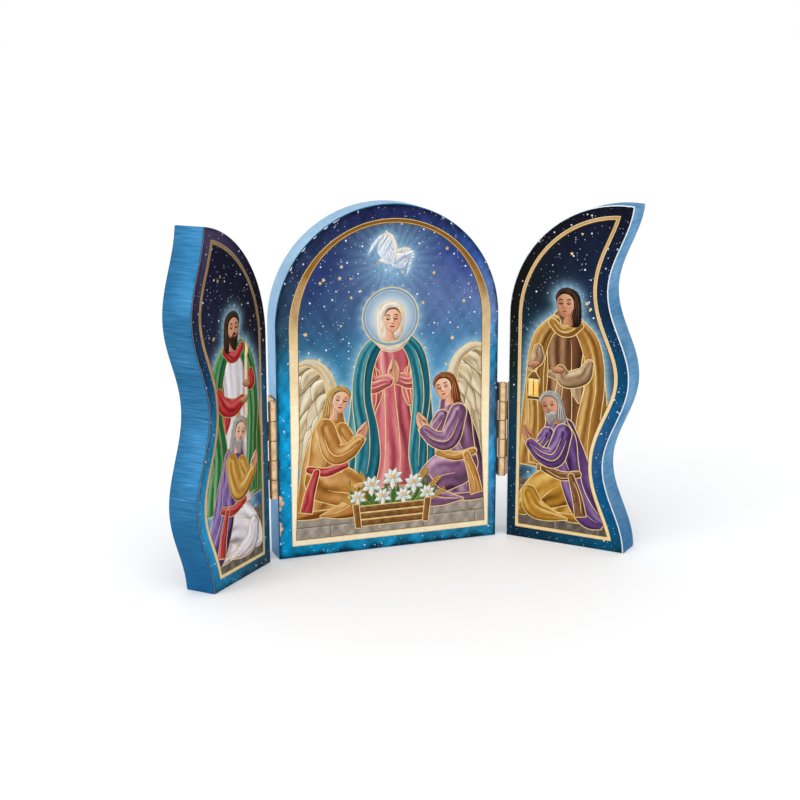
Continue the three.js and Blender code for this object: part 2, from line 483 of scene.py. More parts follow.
@dataclass(frozen=True)
class Outline:
    """The rule that a board's edge follows, in millimetres from its hinged side and its foot.

    The free side swings in and out as a wave, and runs into an arch that springs from the
    hinged side.
    """

    reach: float
    springing: float
    radius: float
    swing: float = 0.0
    wave_length: float = 60.8
    trim: float = 0.0
    settling: int = 8

    def width(self, z: Array | float, inset: float = 0.0) -> Array | float:
        """Give the width at height z, with the free side set in by inset."""
        phase = 2 * np.pi * (z + self.trim) / self.wave_length
        slope = self.swing * 2 * np.pi / self.wave_length * np.sin(phase)
        return self.reach + self.swing * np.cos(phase) - inset * np.hypot(1, slope)

    def top(self, inset: float = 0.0, hinge_inset: float = 0.0) -> float:
        """Give the height at which the free side meets the arch.

        Args:
            inset: How far in from the free side.
            hinge_inset: How far in from the arch.

        Returns:
            The height.
        """
        radius = self.radius - hinge_inset
        height = self.springing + radius
        for _ in range(self.settling):
            across = self.width(height, inset) - self.radius
            height = self.springing + math.sqrt(max(0.0, radius ** 2 - across ** 2))
        return height

    def arc_start(self, inset: float = 0.0, hinge_inset: float = 0.0) -> float:
        """Give the angle at which the arch starts, counted from the free side's level."""
        top = self.top(inset, hinge_inset)
        return math.atan2(top - self.springing, self.width(top, inset) - self.radius)

    def loop(self, inset: float, hinge: float) -> Array:
        """Trace a loop inside the outline, with points about a millimetre apart.

        Args:
            inset: How far it lies inside the foot and the free side.
            hinge: How far it lies inside the hinged side and the arch.

        Returns:
            Points as rows of width and height, from the hinged foot round by the free side.
        """
        top, radius, start = self.top(inset, hinge), self.radius - hinge, self.arc_start(inset, hinge)
        z = np.linspace(inset, top, round(top - inset))
        foot = np.linspace(hinge, self.width(inset, inset), round(self.reach))[:-1]
        angle = np.linspace(start, math.pi, round(radius * (math.pi - start)))[1:]
        arch = polar(angle, radius, self.radius, self.springing)
        arch[:, 0] = np.maximum(arch[:, 0], hinge)
        down = np.linspace(self.springing, inset, round(self.springing))[1:-1]
        return np.concatenate([
            np.stack([foot, np.full_like(foot, inset)], 1), np.stack([self.width(z, inset), z], 1),
            arch, np.stack([np.full_like(down, hinge), down], 1)])


@dataclass(frozen=True)
class Triptych:
    """The driving sizes of the whole piece, in millimetres, and where its three boards stand."""

    panel_width: float = 80.0
    panel_height: float = 120.0
    board_thickness: float = 10.9
    picture_stack: float = 0.6
    wave_height: float = 4.2
    wave_length: float = Outline.wave_length
    saw_kerf: float = 1.2
    left_trim: float = 1.5
    hinge_gap: float = 3.5
    hinge_standoff: float = 0.2

    @property
    def radius(self) -> float:
        """Give the arch's radius."""
        return self.panel_width / 2

    def outline(self, side: Side) -> Outline:
        """Give the rule of one board's edge.

        Args:
            side: The board.

        Returns:
            Its outline.
        """
        springing = self.panel_height - self.radius
        if side is Side.CENTER:
            return Outline(self.panel_width, springing, self.radius)
        if side is Side.LEFT:
            return Outline(self.radius - self.saw_kerf, springing - self.left_trim, self.radius,
                           -self.wave_height, self.wave_length, self.left_trim)
        return Outline(self.radius, springing, self.radius, self.wave_height, self.wave_length)

    def joint(self, side: Side) -> dict:
        """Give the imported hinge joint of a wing."""
        return next(j for j in frame["joints"] if j["name"] == f"{side.body}_hinge")

    def fold(self, side: Side) -> float:
        """Give the angle in radians that a wing stands forward of flat, from its joint's range."""
        return math.pi - math.radians(self.joint(side)["range_deg"][1])

    def board_front(self, side: Side) -> float:
        """Give how far a board's front lies behind the plane of y = 0 of its own sheet frame."""
        if side is Side.CENTER:
            return -self.board_thickness / 2
        return self.hinge_standoff + self.picture_stack

    def to_row(self, side: Side) -> Matrix:
        """Give the transform that takes a board's sheet frame, in metres, to the row frame.

        In a sheet frame x runs to the right as seen from the front, from the middle of the
        centre board or from the wood at a wing's hinge, and y = 0 is the board's middle or the
        hinge axis.

        Args:
            side: The board.

        Returns:
            The transform.
        """
        if side is Side.CENTER:
            return Matrix.Identity(4)
        axis = Vector(self.joint(side)["pos_m"])
        axis.z = 0.0
        half_gap = Vector((side.value * self.hinge_gap / 2 * MM, 0.0, 0.0))
        turn = Matrix.Rotation(-side.value * self.fold(side), 4, "Z")
        return Matrix.Translation(axis) @ turn @ Matrix.Translation(half_gap)

    def sheet_x(self, side: Side, width: Array) -> Array:
        """Turn widths counted from the hinged side into x in the sheet frame."""
        if side is Side.CENTER:
            return width - self.radius
        return side.value * width


# ---- mesh helpers


def link(data: ID, name: str) -> Object:
    """Put a mesh, a light or a camera into the scene as an object of its own."""
    piece = bpy.data.objects.new(name, data)
    bpy.context.scene.collection.objects.link(piece)
    return piece


def point_outwards(solid: bmesh.types.BMesh) -> None:
    """Turn the faces of a closed shape outwards."""
    bmesh.ops.recalc_face_normals(solid, faces=solid.faces)
    if solid.calc_volume(signed=True) < 0:
        bmesh.ops.reverse_faces(solid, faces=solid.faces)


def take_mesh(holder: Object, name: str) -> Mesh:
    """Keep what an object's modifiers make as a plain mesh, and drop the object with its own mesh.

    Args:
        holder: The object.
        name: The new mesh's name.

    Returns:
        The new mesh.
    """
    bpy.context.view_layer.update()
    mesh = bpy.data.meshes.new_from_object(holder.evaluated_get(bpy.context.evaluated_depsgraph_get()))
    seed = holder.data
    bpy.data.objects.remove(holder)
    bpy.data.meshes.remove(seed)
    mesh.name = name
    return mesh


def nodes_to_mesh(tree: NodeTree, values: dict[str, object], name: str) -> Mesh:
    """Run a Geometry Nodes tree and keep what it makes as a plain mesh.

    Args:
        tree: The tree, with its inputs named.
        values: A value for each input, by name.
        name: The mesh's name.

    Returns:
        The evaluated mesh.
    """
    holder = link(bpy.data.meshes.new(name + "_seed"), name + "_seed")
    modifier = holder.modifiers.new("build", "NODES")
    modifier.node_group = tree
    for item in tree.interface.items_tree:
        if item.in_out == "INPUT" and item.name in values:
            modifier[item.identifier] = values[item.name]
    return take_mesh(holder, name)


def geometry_tree(name: str, sizes: Sequence[str], counts: Sequence[str]) -> tuple[Graph, list[Value]]:
    """Start a Geometry Nodes tree with named inputs.

    Args:
        name: The tree's name.
        sizes: The names of its inputs that are lengths, angles or other numbers.
        counts: The names of its inputs that are whole numbers.

    Returns:
        The graph, and its inputs in that order, then "Material".
    """
    tree = bpy.data.node_groups.new(name, "GeometryNodeTree")
    kinds = {**dict.fromkeys(sizes, "NodeSocketFloat"), **dict.fromkeys(counts, "NodeSocketInt"),
             "Material": "NodeSocketMaterial"}
    for label, kind in kinds.items():
        tree.interface.new_socket(label, in_out="INPUT", socket_type=kind)
    tree.interface.new_socket("Geometry", in_out="OUTPUT", socket_type="NodeSocketGeometry")
    graph = Graph(tree)
    entry = graph.place("NodeGroupInput")
    return graph, [Value(graph, entry.outputs[label]) for label in kinds]


def finish_tree(graph: Graph, geometry: Value, material: Value) -> NodeTree:
    """End a tree in Realize Instances and Set Material, and give the tree."""
    real = graph.node("GeometryNodeRealizeInstances", {0: geometry})
    dressed = graph.node("GeometryNodeSetMaterial", {"Geometry": real, "Material": material})
    graph.place("NodeGroupOutput", {0: dressed})
    return graph.tree


def store(mesh: Mesh, label: str, kind: str, domain: str, values: Array) -> None:
    """Store values on a mesh as a named attribute.

    Args:
        mesh: The mesh.
        label: The attribute's name.
        kind: FLOAT, FLOAT_VECTOR or FLOAT_COLOR.
        domain: POINT, FACE or CORNER.
        values: A row of numbers for each item.
    """
    key = {"FLOAT": "value", "FLOAT_VECTOR": "vector", "FLOAT_COLOR": "color"}[kind]
    mesh.attributes.new(label, kind, domain).data.foreach_set(key, values.astype(np.float32).ravel())


# ---- boards


# Paleness of each board's body and of its eased front edge, as (body, rim). The one blue paint is made deeper
# or paler board by board as painted light and shade: the left wing deep as if turned away from the light, the
# centre pale, the right wing between. The left and centre front edges are darker, partly rubbed paint and
# partly painted shade. The right wing's front edge goes near-white as a painted highlight.
PAINTED_LIGHT_PALENESS = {Side.LEFT: (0.32, 0.1), Side.CENTER: (0.96, 0.2), Side.RIGHT: (0.61, 1.7)}


@dataclass
class Board:
    """One wooden board: its outline follows the rule, and its edges are eased round."""

    triptych: Triptych
    side: Side
    material: Material
    front_ease: float = 0.2
    back_ease: float = 0.7
    ease_segments: int = 3
    wave_points: int = 105
    arch_step: float = 1.14
    seam: float = 1e-6
    sawn_slope: float = 0.7
    front_slope: float = -0.2
    flat_corners: int = 10

    @staticmethod
    def tree() -> NodeTree:
        """Make the Geometry Nodes tree of a board's blank, flat in its own XY plane.

        Returns:
            The tree.
        """
        sizes = ("Reach", "Swing", "Wave Length", "Trim", "Top", "Springing", "Radius", "Arc Start",
                 "Thickness")
        graph, given = geometry_tree("board_blank", sizes, ("Wave Points", "Arch Points"))
        reach, swing, wave_length, trim, top, springing, radius, start, thickness = given[:9]
        wave_points, arch_points, material = given[9:]
        index = graph.node("GeometryNodeInputIndex")
        height = (index - 1) / (wave_points - 1) * top
        phase = (height + trim) / wave_length * (2 * math.pi)
        angle = start + (index - wave_points) / arch_points * (math.pi - start)
        on_arch = index.math("GREATER_THAN", wave_points)
        past_foot = index.math("GREATER_THAN", 0.5)
        arch_x, arch_y = radius + radius * angle.math("COSINE"), springing + radius * angle.math("SINE")
        x = past_foot * (on_arch * arch_x + (1 - on_arch) * (reach + swing * phase.math("COSINE")))
        y = past_foot * (on_arch * arch_y + (1 - on_arch) * height)
        line = graph.node("GeometryNodeMeshLine", {"Count": wave_points + arch_points + 1})
        traced = graph.node("GeometryNodeSetPosition", {"Geometry": line, "Position": graph.vector(x, y)})
        curve = graph.node("GeometryNodeMeshToCurve", {"Mesh": traced})
        closed = graph.node("GeometryNodeSetSplineCyclic", {"Geometry": curve, "Cyclic": True})
        face = graph.node("GeometryNodeFillCurve", {"Curve": closed}, {"mode": "NGONS"})
        raised = graph.node("GeometryNodeExtrudeMesh", {
            "Mesh": face, "Offset": graph.vector(z=thickness), "Offset Scale": 1.0, "Individual": False})
        turned_over = graph.node("GeometryNodeFlipFaces", {"Mesh": face})
        whole = graph.node("GeometryNodeMergeByDistance", {
            "Geometry": graph.joined(raised, turned_over), "Distance": Board.seam})
        return finish_tree(graph, whole, material)

    def build(self, tree: NodeTree) -> Object:
        """Make the board where it stands.

        Args:
            tree: The tree of a board's blank.

        Returns:
            The board, with the attributes "place", "side" and "pale".
        """
        rule, name = self.triptych.outline(self.side), f"{self.side.label}_painted_board"
        lengths = {"Reach": rule.reach, "Swing": rule.swing, "Wave Length": rule.wave_length,
                   "Trim": rule.trim, "Top": rule.top(), "Springing": rule.springing,
                   "Radius": rule.radius, "Thickness": self.triptych.board_thickness}
        mesh = nodes_to_mesh(tree, {
            **{label: length * MM for label, length in lengths.items()}, "Arc Start": rule.arc_start(),
            "Wave Points": self.wave_points if rule.swing else 2,
            "Arch Points": round((math.pi - rule.arc_start()) * rule.radius / self.arch_step),
            "Material": self.material}, name)
        mesh = self.ease_edges(mesh)
        self.mark(mesh)
        mesh.transform(self.triptych.to_row(self.side))
        mesh.update()
        return link(mesh, name)

    def ease_edges(self, blank: Mesh) -> Mesh:
        """Stand the blank up in its sheet frame and round its edges, most at the back.

        Args:
            blank: The board's blank, lying flat.

        Returns:
            The rounded board.
        """
        shift = -self.triptych.radius * MM if self.side is Side.CENTER else 0.0
        mirror = -1 if self.side is Side.LEFT else 1
        front = self.triptych.board_front(self.side) * MM
        middle = front + self.triptych.board_thickness * MM / 2
        stand = Matrix(((mirror, 0, 0, shift), (0, 0, 1, front), (0, 1, 0, 0), (0, 0, 0, 1)))
        solid = bmesh.new()
        solid.from_mesh(blank)
        solid.transform(stand)
        point_outwards(solid)
        weight = solid.edges.layers.float.new("bevel_weight_edge")
        for edge in solid.edges:
            if edge.calc_face_angle() > SHARP_EDGE:
                at_back = all(vert.co.y > middle for vert in edge.verts)
                edge[weight] = 1.0 if at_back else self.front_ease / self.back_ease
        solid.to_mesh(blank)
        solid.free()
        holder = link(blank, "easing")
        bevel = holder.modifiers.new("ease", "BEVEL")
        bevel.limit_method = "WEIGHT"
        bevel.width = self.back_ease * MM
        bevel.segments = self.ease_segments
        mesh = take_mesh(holder, blank.name)
        for face in mesh.polygons:
            face.use_smooth = len(face.vertices) < self.flat_corners
        return mesh

    def mark(self, mesh: Mesh) -> None:
        """Record where each point lies on the sheet, which faces are sawn edge, and how pale they are, as
        painted light and shade.

        Args:
            mesh: The board, standing in its sheet frame.
        """
        place = np.empty(len(mesh.vertices) * 3, np.float32)
        mesh.vertices.foreach_get("co", place)
        normals = np.empty(len(mesh.polygons) * 3, np.float32)
        mesh.polygons.foreach_get("normal", normals)
        depth = normals.reshape(-1, 3)[:, 1]
        # Painted light and shade: each board's paleness, body and front rim.
        body, rim = PAINTED_LIGHT_PALENESS[self.side]
        store(mesh, "place", "FLOAT_VECTOR", "POINT", place)
        store(mesh, "side", "FLOAT", "FACE", np.abs(depth) < self.sawn_slope)
        store(mesh, "pale", "FLOAT", "FACE", np.where(depth < self.front_slope, rim, body))


# ---- hinges


@dataclass
class HingeHalf:
    """One leaf of a small butt hinge, with the knuckles that are rolled from it."""

    triptych: Triptych
    side: Side
    moving: bool
    material: Material
    knuckle_count: int = 5
    knuckle_gap: float = 0.25
    bore_radius: float = 0.9
    thickness: float = 0.5
    leaf_front: float = 1.75
    leaf_depth: float = 9.2
    soften: float = 0.14
    round_steps: int = 48
    soften_steps: int = 3

    @staticmethod
    def tree() -> NodeTree:
        """Make the Geometry Nodes tree of a hinge half about its own upright axis.

        Returns:
            The tree.
        """
        sizes = ("Outer Radius", "Bore Radius", "Knuckle Height", "First Middle", "Spacing", "Thickness",
                 "Leaf Front", "Leaf Depth", "Leaf Middle", "Leaf Length", "Toward", "Soften")
        graph, given = geometry_tree("hinge_half", sizes, ("Knuckles",))
        outer, bore, height, first, spacing, thickness, front, depth, middle, length = given[:10]
        toward, soften, knuckles, material = given[10:]
        wall = outer - bore
        ring = graph.node("GeometryNodeCurvePrimitiveCircle", {
            "Resolution": HingeHalf.round_steps, "Radius": bore + wall / 2})
        section = graph.node("GeometryNodeCurvePrimitiveQuadrilateral", {"Width": wall, "Height": height})
        rounded = graph.node("GeometryNodeFilletCurve", {
            "Curve": section, "Count": HingeHalf.soften_steps, "Radius": soften}, {"mode": "POLY"})
        knuckle = graph.node("GeometryNodeCurveToMesh", {"Curve": ring, "Profile Curve": rounded})
        points = graph.node("GeometryNodeMeshLine", {
            "Count": knuckles, "Start Location": graph.vector(z=first), "Offset": graph.vector(z=spacing)})
        across, reach = toward * (outer - thickness / 2), front + thickness
        tab = HingeHalf.plate(graph, (thickness, reach, height), across, reach / 2)
        leaf = HingeHalf.plate(
            graph, (thickness, depth - front, length), across, (front + depth) / 2, middle)
        copies = [graph.node("GeometryNodeInstanceOnPoints", {"Points": points, "Instance": shape})
                  for shape in (knuckle, tab)]
        return finish_tree(graph, graph.joined(*copies, leaf), material)

    @staticmethod
    def plate(graph: Graph, size: tuple[Value, ...], x: Operand, y: Operand, z: Operand = 0.0) -> Value:
        """Add a rectangular plate of some size about a place."""
        block = graph.node("GeometryNodeMeshCube", {"Size": graph.vector(*size)})
        return graph.node("GeometryNodeTransform", {
            "Geometry": block, "Translation": graph.vector(x, y, z)})

    def build(self, tree: NodeTree) -> Object:
        """Make the half where it stands.

        Args:
            tree: The tree of a hinge half.

        Returns:
            The half, smooth round its knuckles.
        """
        axis = Vector(self.triptych.joint(self.side)["pos_m"])
        low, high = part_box(f"{self.side.label}_hinge_panel_leaf")
        pitch = ((high.z - low.z) / MM + self.knuckle_gap) / self.knuckle_count
        height = pitch - self.knuckle_gap
        first = low.z / MM + height / 2 + (pitch if self.moving else 0.0)
        name = f"{self.side.label}_hinge_{'moving' if self.moving else 'fixed'}_half"
        lengths = {"Outer Radius": (axis.y - low.y) / MM, "Bore Radius": self.bore_radius,
                   "Knuckle Height": height, "First Middle": first, "Spacing": 2 * pitch,
                   "Thickness": self.thickness, "Leaf Front": self.leaf_front,
                   "Leaf Depth": self.leaf_depth, "Soften": self.soften,
                   "Leaf Middle": (low.z + high.z) / 2 / MM, "Leaf Length": (high.z - low.z) / MM}
        values = {label: size * MM for label, size in lengths.items()}
        values["Toward"] = float(self.side.value if self.moving else -self.side.value)
        values["Knuckles"] = self.knuckle_count // 2 + (0 if self.moving else 1)
        values["Material"] = self.material
        mesh = nodes_to_mesh(tree, values, name)
        solid = bmesh.new()
        solid.from_mesh(mesh)
        point_outwards(solid)
        solid.to_mesh(mesh)
        solid.free()
        mesh.shade_smooth()
        mesh.set_sharp_from_angle(angle=SHARP_EDGE)
        turn = Matrix.Rotation(-self.side.value * self.triptych.fold(self.side), 4, "Z")
        axis.z = 0.0
        mesh.transform(Matrix.Translation(axis) @ (turn if self.moving else Matrix.Identity(4)))
        mesh.update()
        return link(mesh, name)


# ---- painting


FOIL, NIGHT, WORN, PAINT = (1.0, 0.0, 0.0), (0.0, 1.0, 0.0), (0.0, 0.0, 1.0), (0.0, 0.0, 0.0)
NIGHT_BORDER, NIGHT_SOFT = (0.0, 0.8, 0.0), (0.0, 0.3, 0.0)
PAINTED_LIGHT = np.array([-0.55, 0.83])
LINE = 0.3
CURVE_STEP = 0.7
FINE_STEP = 0.3
AT_ONCE = 4096
GOLD = "a8772f e3c079 fff0c4"
Shade = Callable[[Array], Array]


def smooth(points: Points, step: float = CURVE_STEP, closed: bool = False) -> Array:
    """Run a smooth curve through points.

    Args:
        points: Rows of x and z, with any further columns carried along.
        step: The distance between the curve's points.
        closed: Whether it comes back to its first point.

    Returns:
        The curve's points.
    """
    rows = np.asarray(points, float)
    if closed:
        ring = np.concatenate([rows[-1:], rows, rows[:2]])
    else:
        ring = np.concatenate([2 * rows[:1] - rows[1:2], rows, 2 * rows[-1:] - rows[-2:-1]])
    pieces = []
    for before, start, end, after in zip(ring, ring[1:], ring[2:], ring[3:]):
        count = max(2, math.ceil(float(np.hypot(*(end - start)[:2])) / step))
        t = np.linspace(0, 1, count, endpoint=False)[:, None]
        bend = (2 * before - 5 * start + 4 * end - after) * t ** 2
        twist = (3 * start - before - 3 * end + after) * t ** 3
        pieces.append(0.5 * (2 * start + (end - before) * t + bend + twist))
    if not closed:
        pieces.append(rows[-1:])
    return np.concatenate(pieces)


def divided(corners: Array) -> Array:
    """Put points at most a millimetre apart along the straight sides between corners."""
    sides = zip(corners, np.roll(corners, -1, 0))
    return np.concatenate([np.linspace(a, b, max(2, math.ceil(float(np.hypot(*(b - a))))), endpoint=False)
                           for a, b in sides])


def normals(line: Array, closed: bool = False) -> Array:
    """Give the unit vectors to the left of a line, seen along it.

    Args:
        line: Rows of x and z.
        closed: Whether the line is a loop.

    Returns:
        A vector for each point.
    """
    if closed:
        ahead = np.roll(line, -1, 0) - np.roll(line, 1, 0)
    else:
        ahead = np.gradient(line, axis=0)
    length = np.maximum(np.hypot(ahead[:, 0], ahead[:, 1]), 1e-9)
    return np.stack([-ahead[:, 1], ahead[:, 0]], 1) / length[:, None]


def swollen(loop: Array, by: float) -> Array:
    """Move a closed loop outwards by some distance."""
    x, z = loop.T
    turning = np.sign((x * np.roll(z, -1) - z * np.roll(x, -1)).sum())
    return loop - turning * by * normals(loop, closed=True)


def inside(points: Array, loops: Sequence[Array]) -> Array:
    """Tell which points lie inside some loops, by the even-odd rule.

    Args:
        points: Rows of x and z.
        loops: Closed loops.

    Returns:
        One truth for each point.
    """
    hit = np.zeros(len(points), bool)
    for loop in loops:
        ahead = np.roll(loop, -1, 0)
        rise = ahead[:, 1] - loop[:, 1]
        lean = (ahead[:, 0] - loop[:, 0]) / np.where(rise == 0, 1, rise)
        for first in range(0, len(points), AT_ONCE):
            x, z = points[first:first + AT_ONCE].T[:, :, None]
            spans = (loop[:, 1] > z) != (ahead[:, 1] > z)
            hit[first:first + AT_ONCE] ^= ((x < loop[:, 0] + (z - loop[:, 1]) * lean) & spans).sum(1) % 2 == 1
    return hit


def nearest(points: Array, line: Array) -> tuple[Array, Array, Array]:
    """Find each point's foot on a line.

    Args:
        points: Rows of x and z.
        line: The line's own points.

    Returns:
        How far along the line each foot is, from 0 to 1, its signed distance, positive on the
        left, and the unit vector from the point to its foot.
    """
    ahead = np.diff(line, axis=0)
    lengths = np.maximum(np.hypot(ahead[:, 0], ahead[:, 1]), 1e-9)
    rel = points[:, None] - line[:-1]
    share = np.clip((rel * ahead).sum(2) / lengths ** 2, 0, 1)
    off = rel - share[..., None] * ahead
    best = np.hypot(off[..., 0], off[..., 1]).argmin(1)
    rows = np.arange(len(points))
    along = (np.cumsum(lengths) - lengths)[best] + share[rows, best] * lengths[best]
    off = off[rows, best]
    distance = np.hypot(off[:, 0], off[:, 1])
    side = np.sign(ahead[best, 0] * off[:, 1] - ahead[best, 1] * off[:, 0])
    return along / lengths.sum(), distance * side, -off / np.maximum(distance, 1e-9)[:, None]


def blend_tones(tones: str, level: Array) -> Array:
    """Turn levels into linear colours along evenly spaced tones.

    Args:
        tones: Hex colours from dark to light, parted by spaces.
        level: Numbers from 0 at the first tone to 1 at the last.

    Returns:
        A row of red, green and blue for each level.
    """
    colours = np.array([linear(tone) for tone in tones.split()])
    stops = np.linspace(0, 1, len(colours))
    return np.stack([np.interp(level, stops, channel) for channel in colours.T], 1)


def ripple(points: Array, length: float, seed: float = 0.0) -> Array:
    """Give a soft, cloudy value from -1 to 1 that varies over about the given length."""
    x, z = points.T / length
    first = np.sin(2.1 * x + 1.3 * z + seed) + np.sin(1.7 * z - 2.6 * x + 2.3 * seed + 1.0)
    second = np.sin(4.3 * x + 2.9 * z + 3.1 * seed) + np.sin(3.7 * x - 4.9 * z + 1.7 * seed)
    return first / 3 + second / 6


@dataclass(frozen=True)
class Cloth:
    """Painted cloth: dark, middle and light tones, and folds that run along it."""

    tones: str
    folds: float = 3.0
    depth: float = 0.32
    seed: float = 0.0
    gold_folds: tuple[float, ...] = ()
    outline: str = GOLD
    outline_width: float = LINE

    def sway(self, along: Array) -> Array:
        """Give how far the folds swing across the cloth at shares of its length."""
        return 0.16 * np.sin(5.0 * along + self.seed)


@dataclass
class Form:
    """One painted area of a sheet: loops filled by the even-odd rule."""

    loops: list[Array]
    shade: Shade
    marks: Triple = PAINT
    grain: float = 0.0


def flat(tones: str, level: float = 0.5) -> Shade:
    """Make a shade of one colour, with a little cloudiness."""
    return lambda points: blend_tones(tones, level + 0.16 * ripple(points, 1.7))


@dataclass
class Brush:
    """Draws forms in a figure's own units and puts them on a sheet."""

    forms: list[Form]
    matrix: Array = field(default_factory=lambda: np.eye(3))
    grain: float = 0.6

    @property
    def scale(self) -> float:
        """Give how many sheet millimetres one unit is."""
        return math.sqrt(abs(np.linalg.det(self.matrix[:2, :2])))

    def at(self, x: float, z: float, scale: float = 1.0, tilt: float = 0.0, mirror: bool = False,
           grain: float | None = None) -> Brush:
        """Give a brush whose own origin is at (x, z) of this one.

        Args:
            x: Across, in this brush's units.
            z: Up, in this brush's units.
            scale: The new unit, in units of this brush.
            tilt: Degrees turned, counter-clockwise.
            mirror: Whether the new brush's x runs the other way.
            grain: The distance between painted points inside, in millimetres.

        Returns:
            The new brush, which adds to the same forms.
        """
        turn = math.radians(tilt)
        c, s, flip = math.cos(turn) * scale, math.sin(turn) * scale, -1.0 if mirror else 1.0
        local = np.array([[c * flip, -s, x], [s * flip, c, z], [0, 0, 1]])
        return Brush(self.forms, self.matrix @ local, grain or self.grain)

    def put(self, points: Points) -> Array:
        """Take points from the brush's units to the sheet, leaving further columns alone."""
        rows = np.array(points, float)
        rows[:, :2] = rows[:, :2] @ self.matrix[:2, :2].T + self.matrix[:2, 2]
        return rows

    def local(self, points: Array) -> Array:
        """Take points from the sheet to the brush's units."""
        return (points - self.matrix[:2, 2]) @ np.linalg.inv(self.matrix[:2, :2]).T

    def add(self, loops: list[Array], shade: Shade, marks: Triple = PAINT,
            fine: bool = True) -> None:
        """Add a form."""
        self.forms.append(Form(loops, shade, marks, self.grain if fine else 0.0))

    def ribbon(self, stations: Points, cloth: Cloth, round_end: bool = False) -> None:
        """Paint a strip of cloth, a limb or a petal along a smooth middle line, from a round start.

        Args:
            stations: Rows of x, z and half the width there.
            cloth: What it is made of.
            round_end: Whether its end is round too.
        """
        rows = smooth(self.put(stations))
        middle, half = rows[:, :2], np.maximum(rows[:, 2] * self.scale, 0.02)
        across = normals(middle)
        left, right = middle + across * half[:, None], middle - across * half[:, None]
        arcs = {}
        for end, way in ((0, -1), (-1, 1)):
            angle = np.linspace(0, math.pi, 9)[1:-1] if round_end or end == 0 else np.empty(0)
            outwards, ahead = across[end] * way, np.array([across[end, 1], -across[end, 0]]) * way
            swing = np.cos(angle)[:, None] * outwards + np.sin(angle)[:, None] * ahead
            arcs[end] = middle[end] + swing * half[end]
        loop = np.concatenate([left, arcs[-1], right[::-1], arcs[0]])

        def shade(points: Array) -> Array:
            """Light a rounded strip with folds."""
            along, off, _ = nearest(points, middle)
            stops = np.linspace(0, 1, len(half))
            v = off / np.interp(along, stops, half)
            facing = np.interp(along, stops, across @ PAINTED_LIGHT)
            sway = cloth.sway(along) + 0.08 * np.sin(11.0 * along + 2 * cloth.seed)
            wave = np.cos(math.pi * cloth.folds * (v + sway) + 1.7 * cloth.seed)
            comes = 0.6 + 0.4 * np.sin(3.3 * v + 5.5 * along + 3 * cloth.seed)
            valley, ridge = (0.5 + 0.5 * wave) ** 3, (0.5 - 0.5 * wave) ** 2
            level = 0.52 + 0.36 * facing * v - 0.16 * v ** 4
            fold = cloth.depth * comes * (0.75 * ridge - 1.1 * valley)
            level += fold + 0.05 * ripple(points, 1.2, cloth.seed)
            return blend_tones(cloth.tones, level)

        self.fill(loop, shade, cloth)
        for v in cloth.gold_folds:
            count = len(middle)
            run = slice(count // 8, count - count // 12)
            off = half * (v - cloth.sway(np.linspace(0, 1, count)))
            self.stroke((middle + across * off[:, None])[run], cloth.outline_width)

    def limb(self, stations: Points, cloth: Cloth) -> None:
        """Paint a ribbon that is round at its end too."""
        self.ribbon(stations, cloth, round_end=True)

    def patch(self, points: Points, cloth: Cloth, soft: float = 2.0, straight: bool = False,
              round_: float = 0.4) -> None:
        """Paint a closed area that bulges a little.

        Args:
            points: Corners of its outline, in order.
            cloth: What it is made of.
            soft: How far in from the outline it curves away, in the brush's units.
            straight: Whether its sides are straight.
            round_: How strongly its rim catches the light.
        """
        rows = self.put(points)
        loop = divided(rows) if straight else smooth(rows, closed=True)
        ring = np.concatenate([loop, loop[:1]])
        reach = soft * self.scale

        def shade(points: Array) -> Array:
            """Light the rim and cloud the middle."""
            _, off, outward = nearest(points, ring)
            rim = np.clip(1 - np.abs(off) / reach, 0, 1)
            level = 0.5 + round_ * rim * (outward @ PAINTED_LIGHT) + cloth.depth * ripple(
                points, 3.0 / max(cloth.folds, 0.1), cloth.seed)
            return blend_tones(cloth.tones, level)

        self.fill(loop, shade, cloth)

    def fill(self, loop: Array, shade: Shade, cloth: Cloth) -> None:
        """Fill a loop that is on the sheet already, and draw its outline if the cloth has one."""
        self.add([swollen(loop, cloth.outline_width / 2)], shade)
        if cloth.outline_width:
            self.around(loop, cloth.outline_width, cloth.outline)

    def around(self, loop: Array, width: float, tones: str = GOLD) -> None:
        """Draw a line round a loop that is on the sheet already."""
        loops = [swollen(loop, width / 2), swollen(loop, -width / 2)]
        self.add(loops, flat(tones, 0.6), FOIL if tones == GOLD else PAINT, fine=False)

    def stroke(self, line: Array, width: float, tones: str = GOLD, level: float = 0.6) -> None:
        """Draw a line that tapers at both ends, along points on the sheet."""
        swell = np.sin(np.linspace(0.12, math.pi - 0.12, len(line))) ** 0.6
        across = normals(line) * (width / 2 * swell)[:, None]
        loop = np.concatenate([line + across, (line - across)[::-1]])
        self.add([loop], flat(tones, level), FOIL if tones == GOLD else PAINT, fine=False)

    def line(self, points: Points, width: float, tones: str = GOLD, level: float = 0.6) -> None:
        """Draw a smooth tapered line through points in the brush's units."""
        self.stroke(smooth(self.put(points), FINE_STEP), width * self.scale, tones, level)

    def circle(self, x: float, z: float, radius: float, line_width: float) -> None:
        """Draw a gold ring, with its line's width in millimetres."""
        angle = np.linspace(0, 2 * math.pi, 48, endpoint=False)
        self.around(self.put(polar(angle, radius, x, z)), line_width)

    def star(self, x: float, z: float, radius: float, points: int, tilt: float) -> None:
        """Draw a small foil star, turned by tilt radians."""
        angle = np.linspace(0, 2 * math.pi, 2 * points, endpoint=False) + math.pi / 2 + tilt
        reach = np.where(np.arange(2 * points) % 2 == 0, radius, radius * 0.42)
        self.add([self.put(polar(angle, reach, x, z))], flat(GOLD, 0.6), FOIL, fine=False)


# ---- painted figures


SKIN = "8f5a43 e3b08f fbe3cf"
WARM_SKIN = "6d4130 c08a68 ecc4a4"
CREAM = "8a7558 d9c9a8 fff8e6"
BROWN_LINE = "4a2a1a 6b3f28 8a5a3c"
LIPS = "9c4a44 b8645a cf8274"
BLUSH = "e08a74"
FINE_GRAIN = 0.22


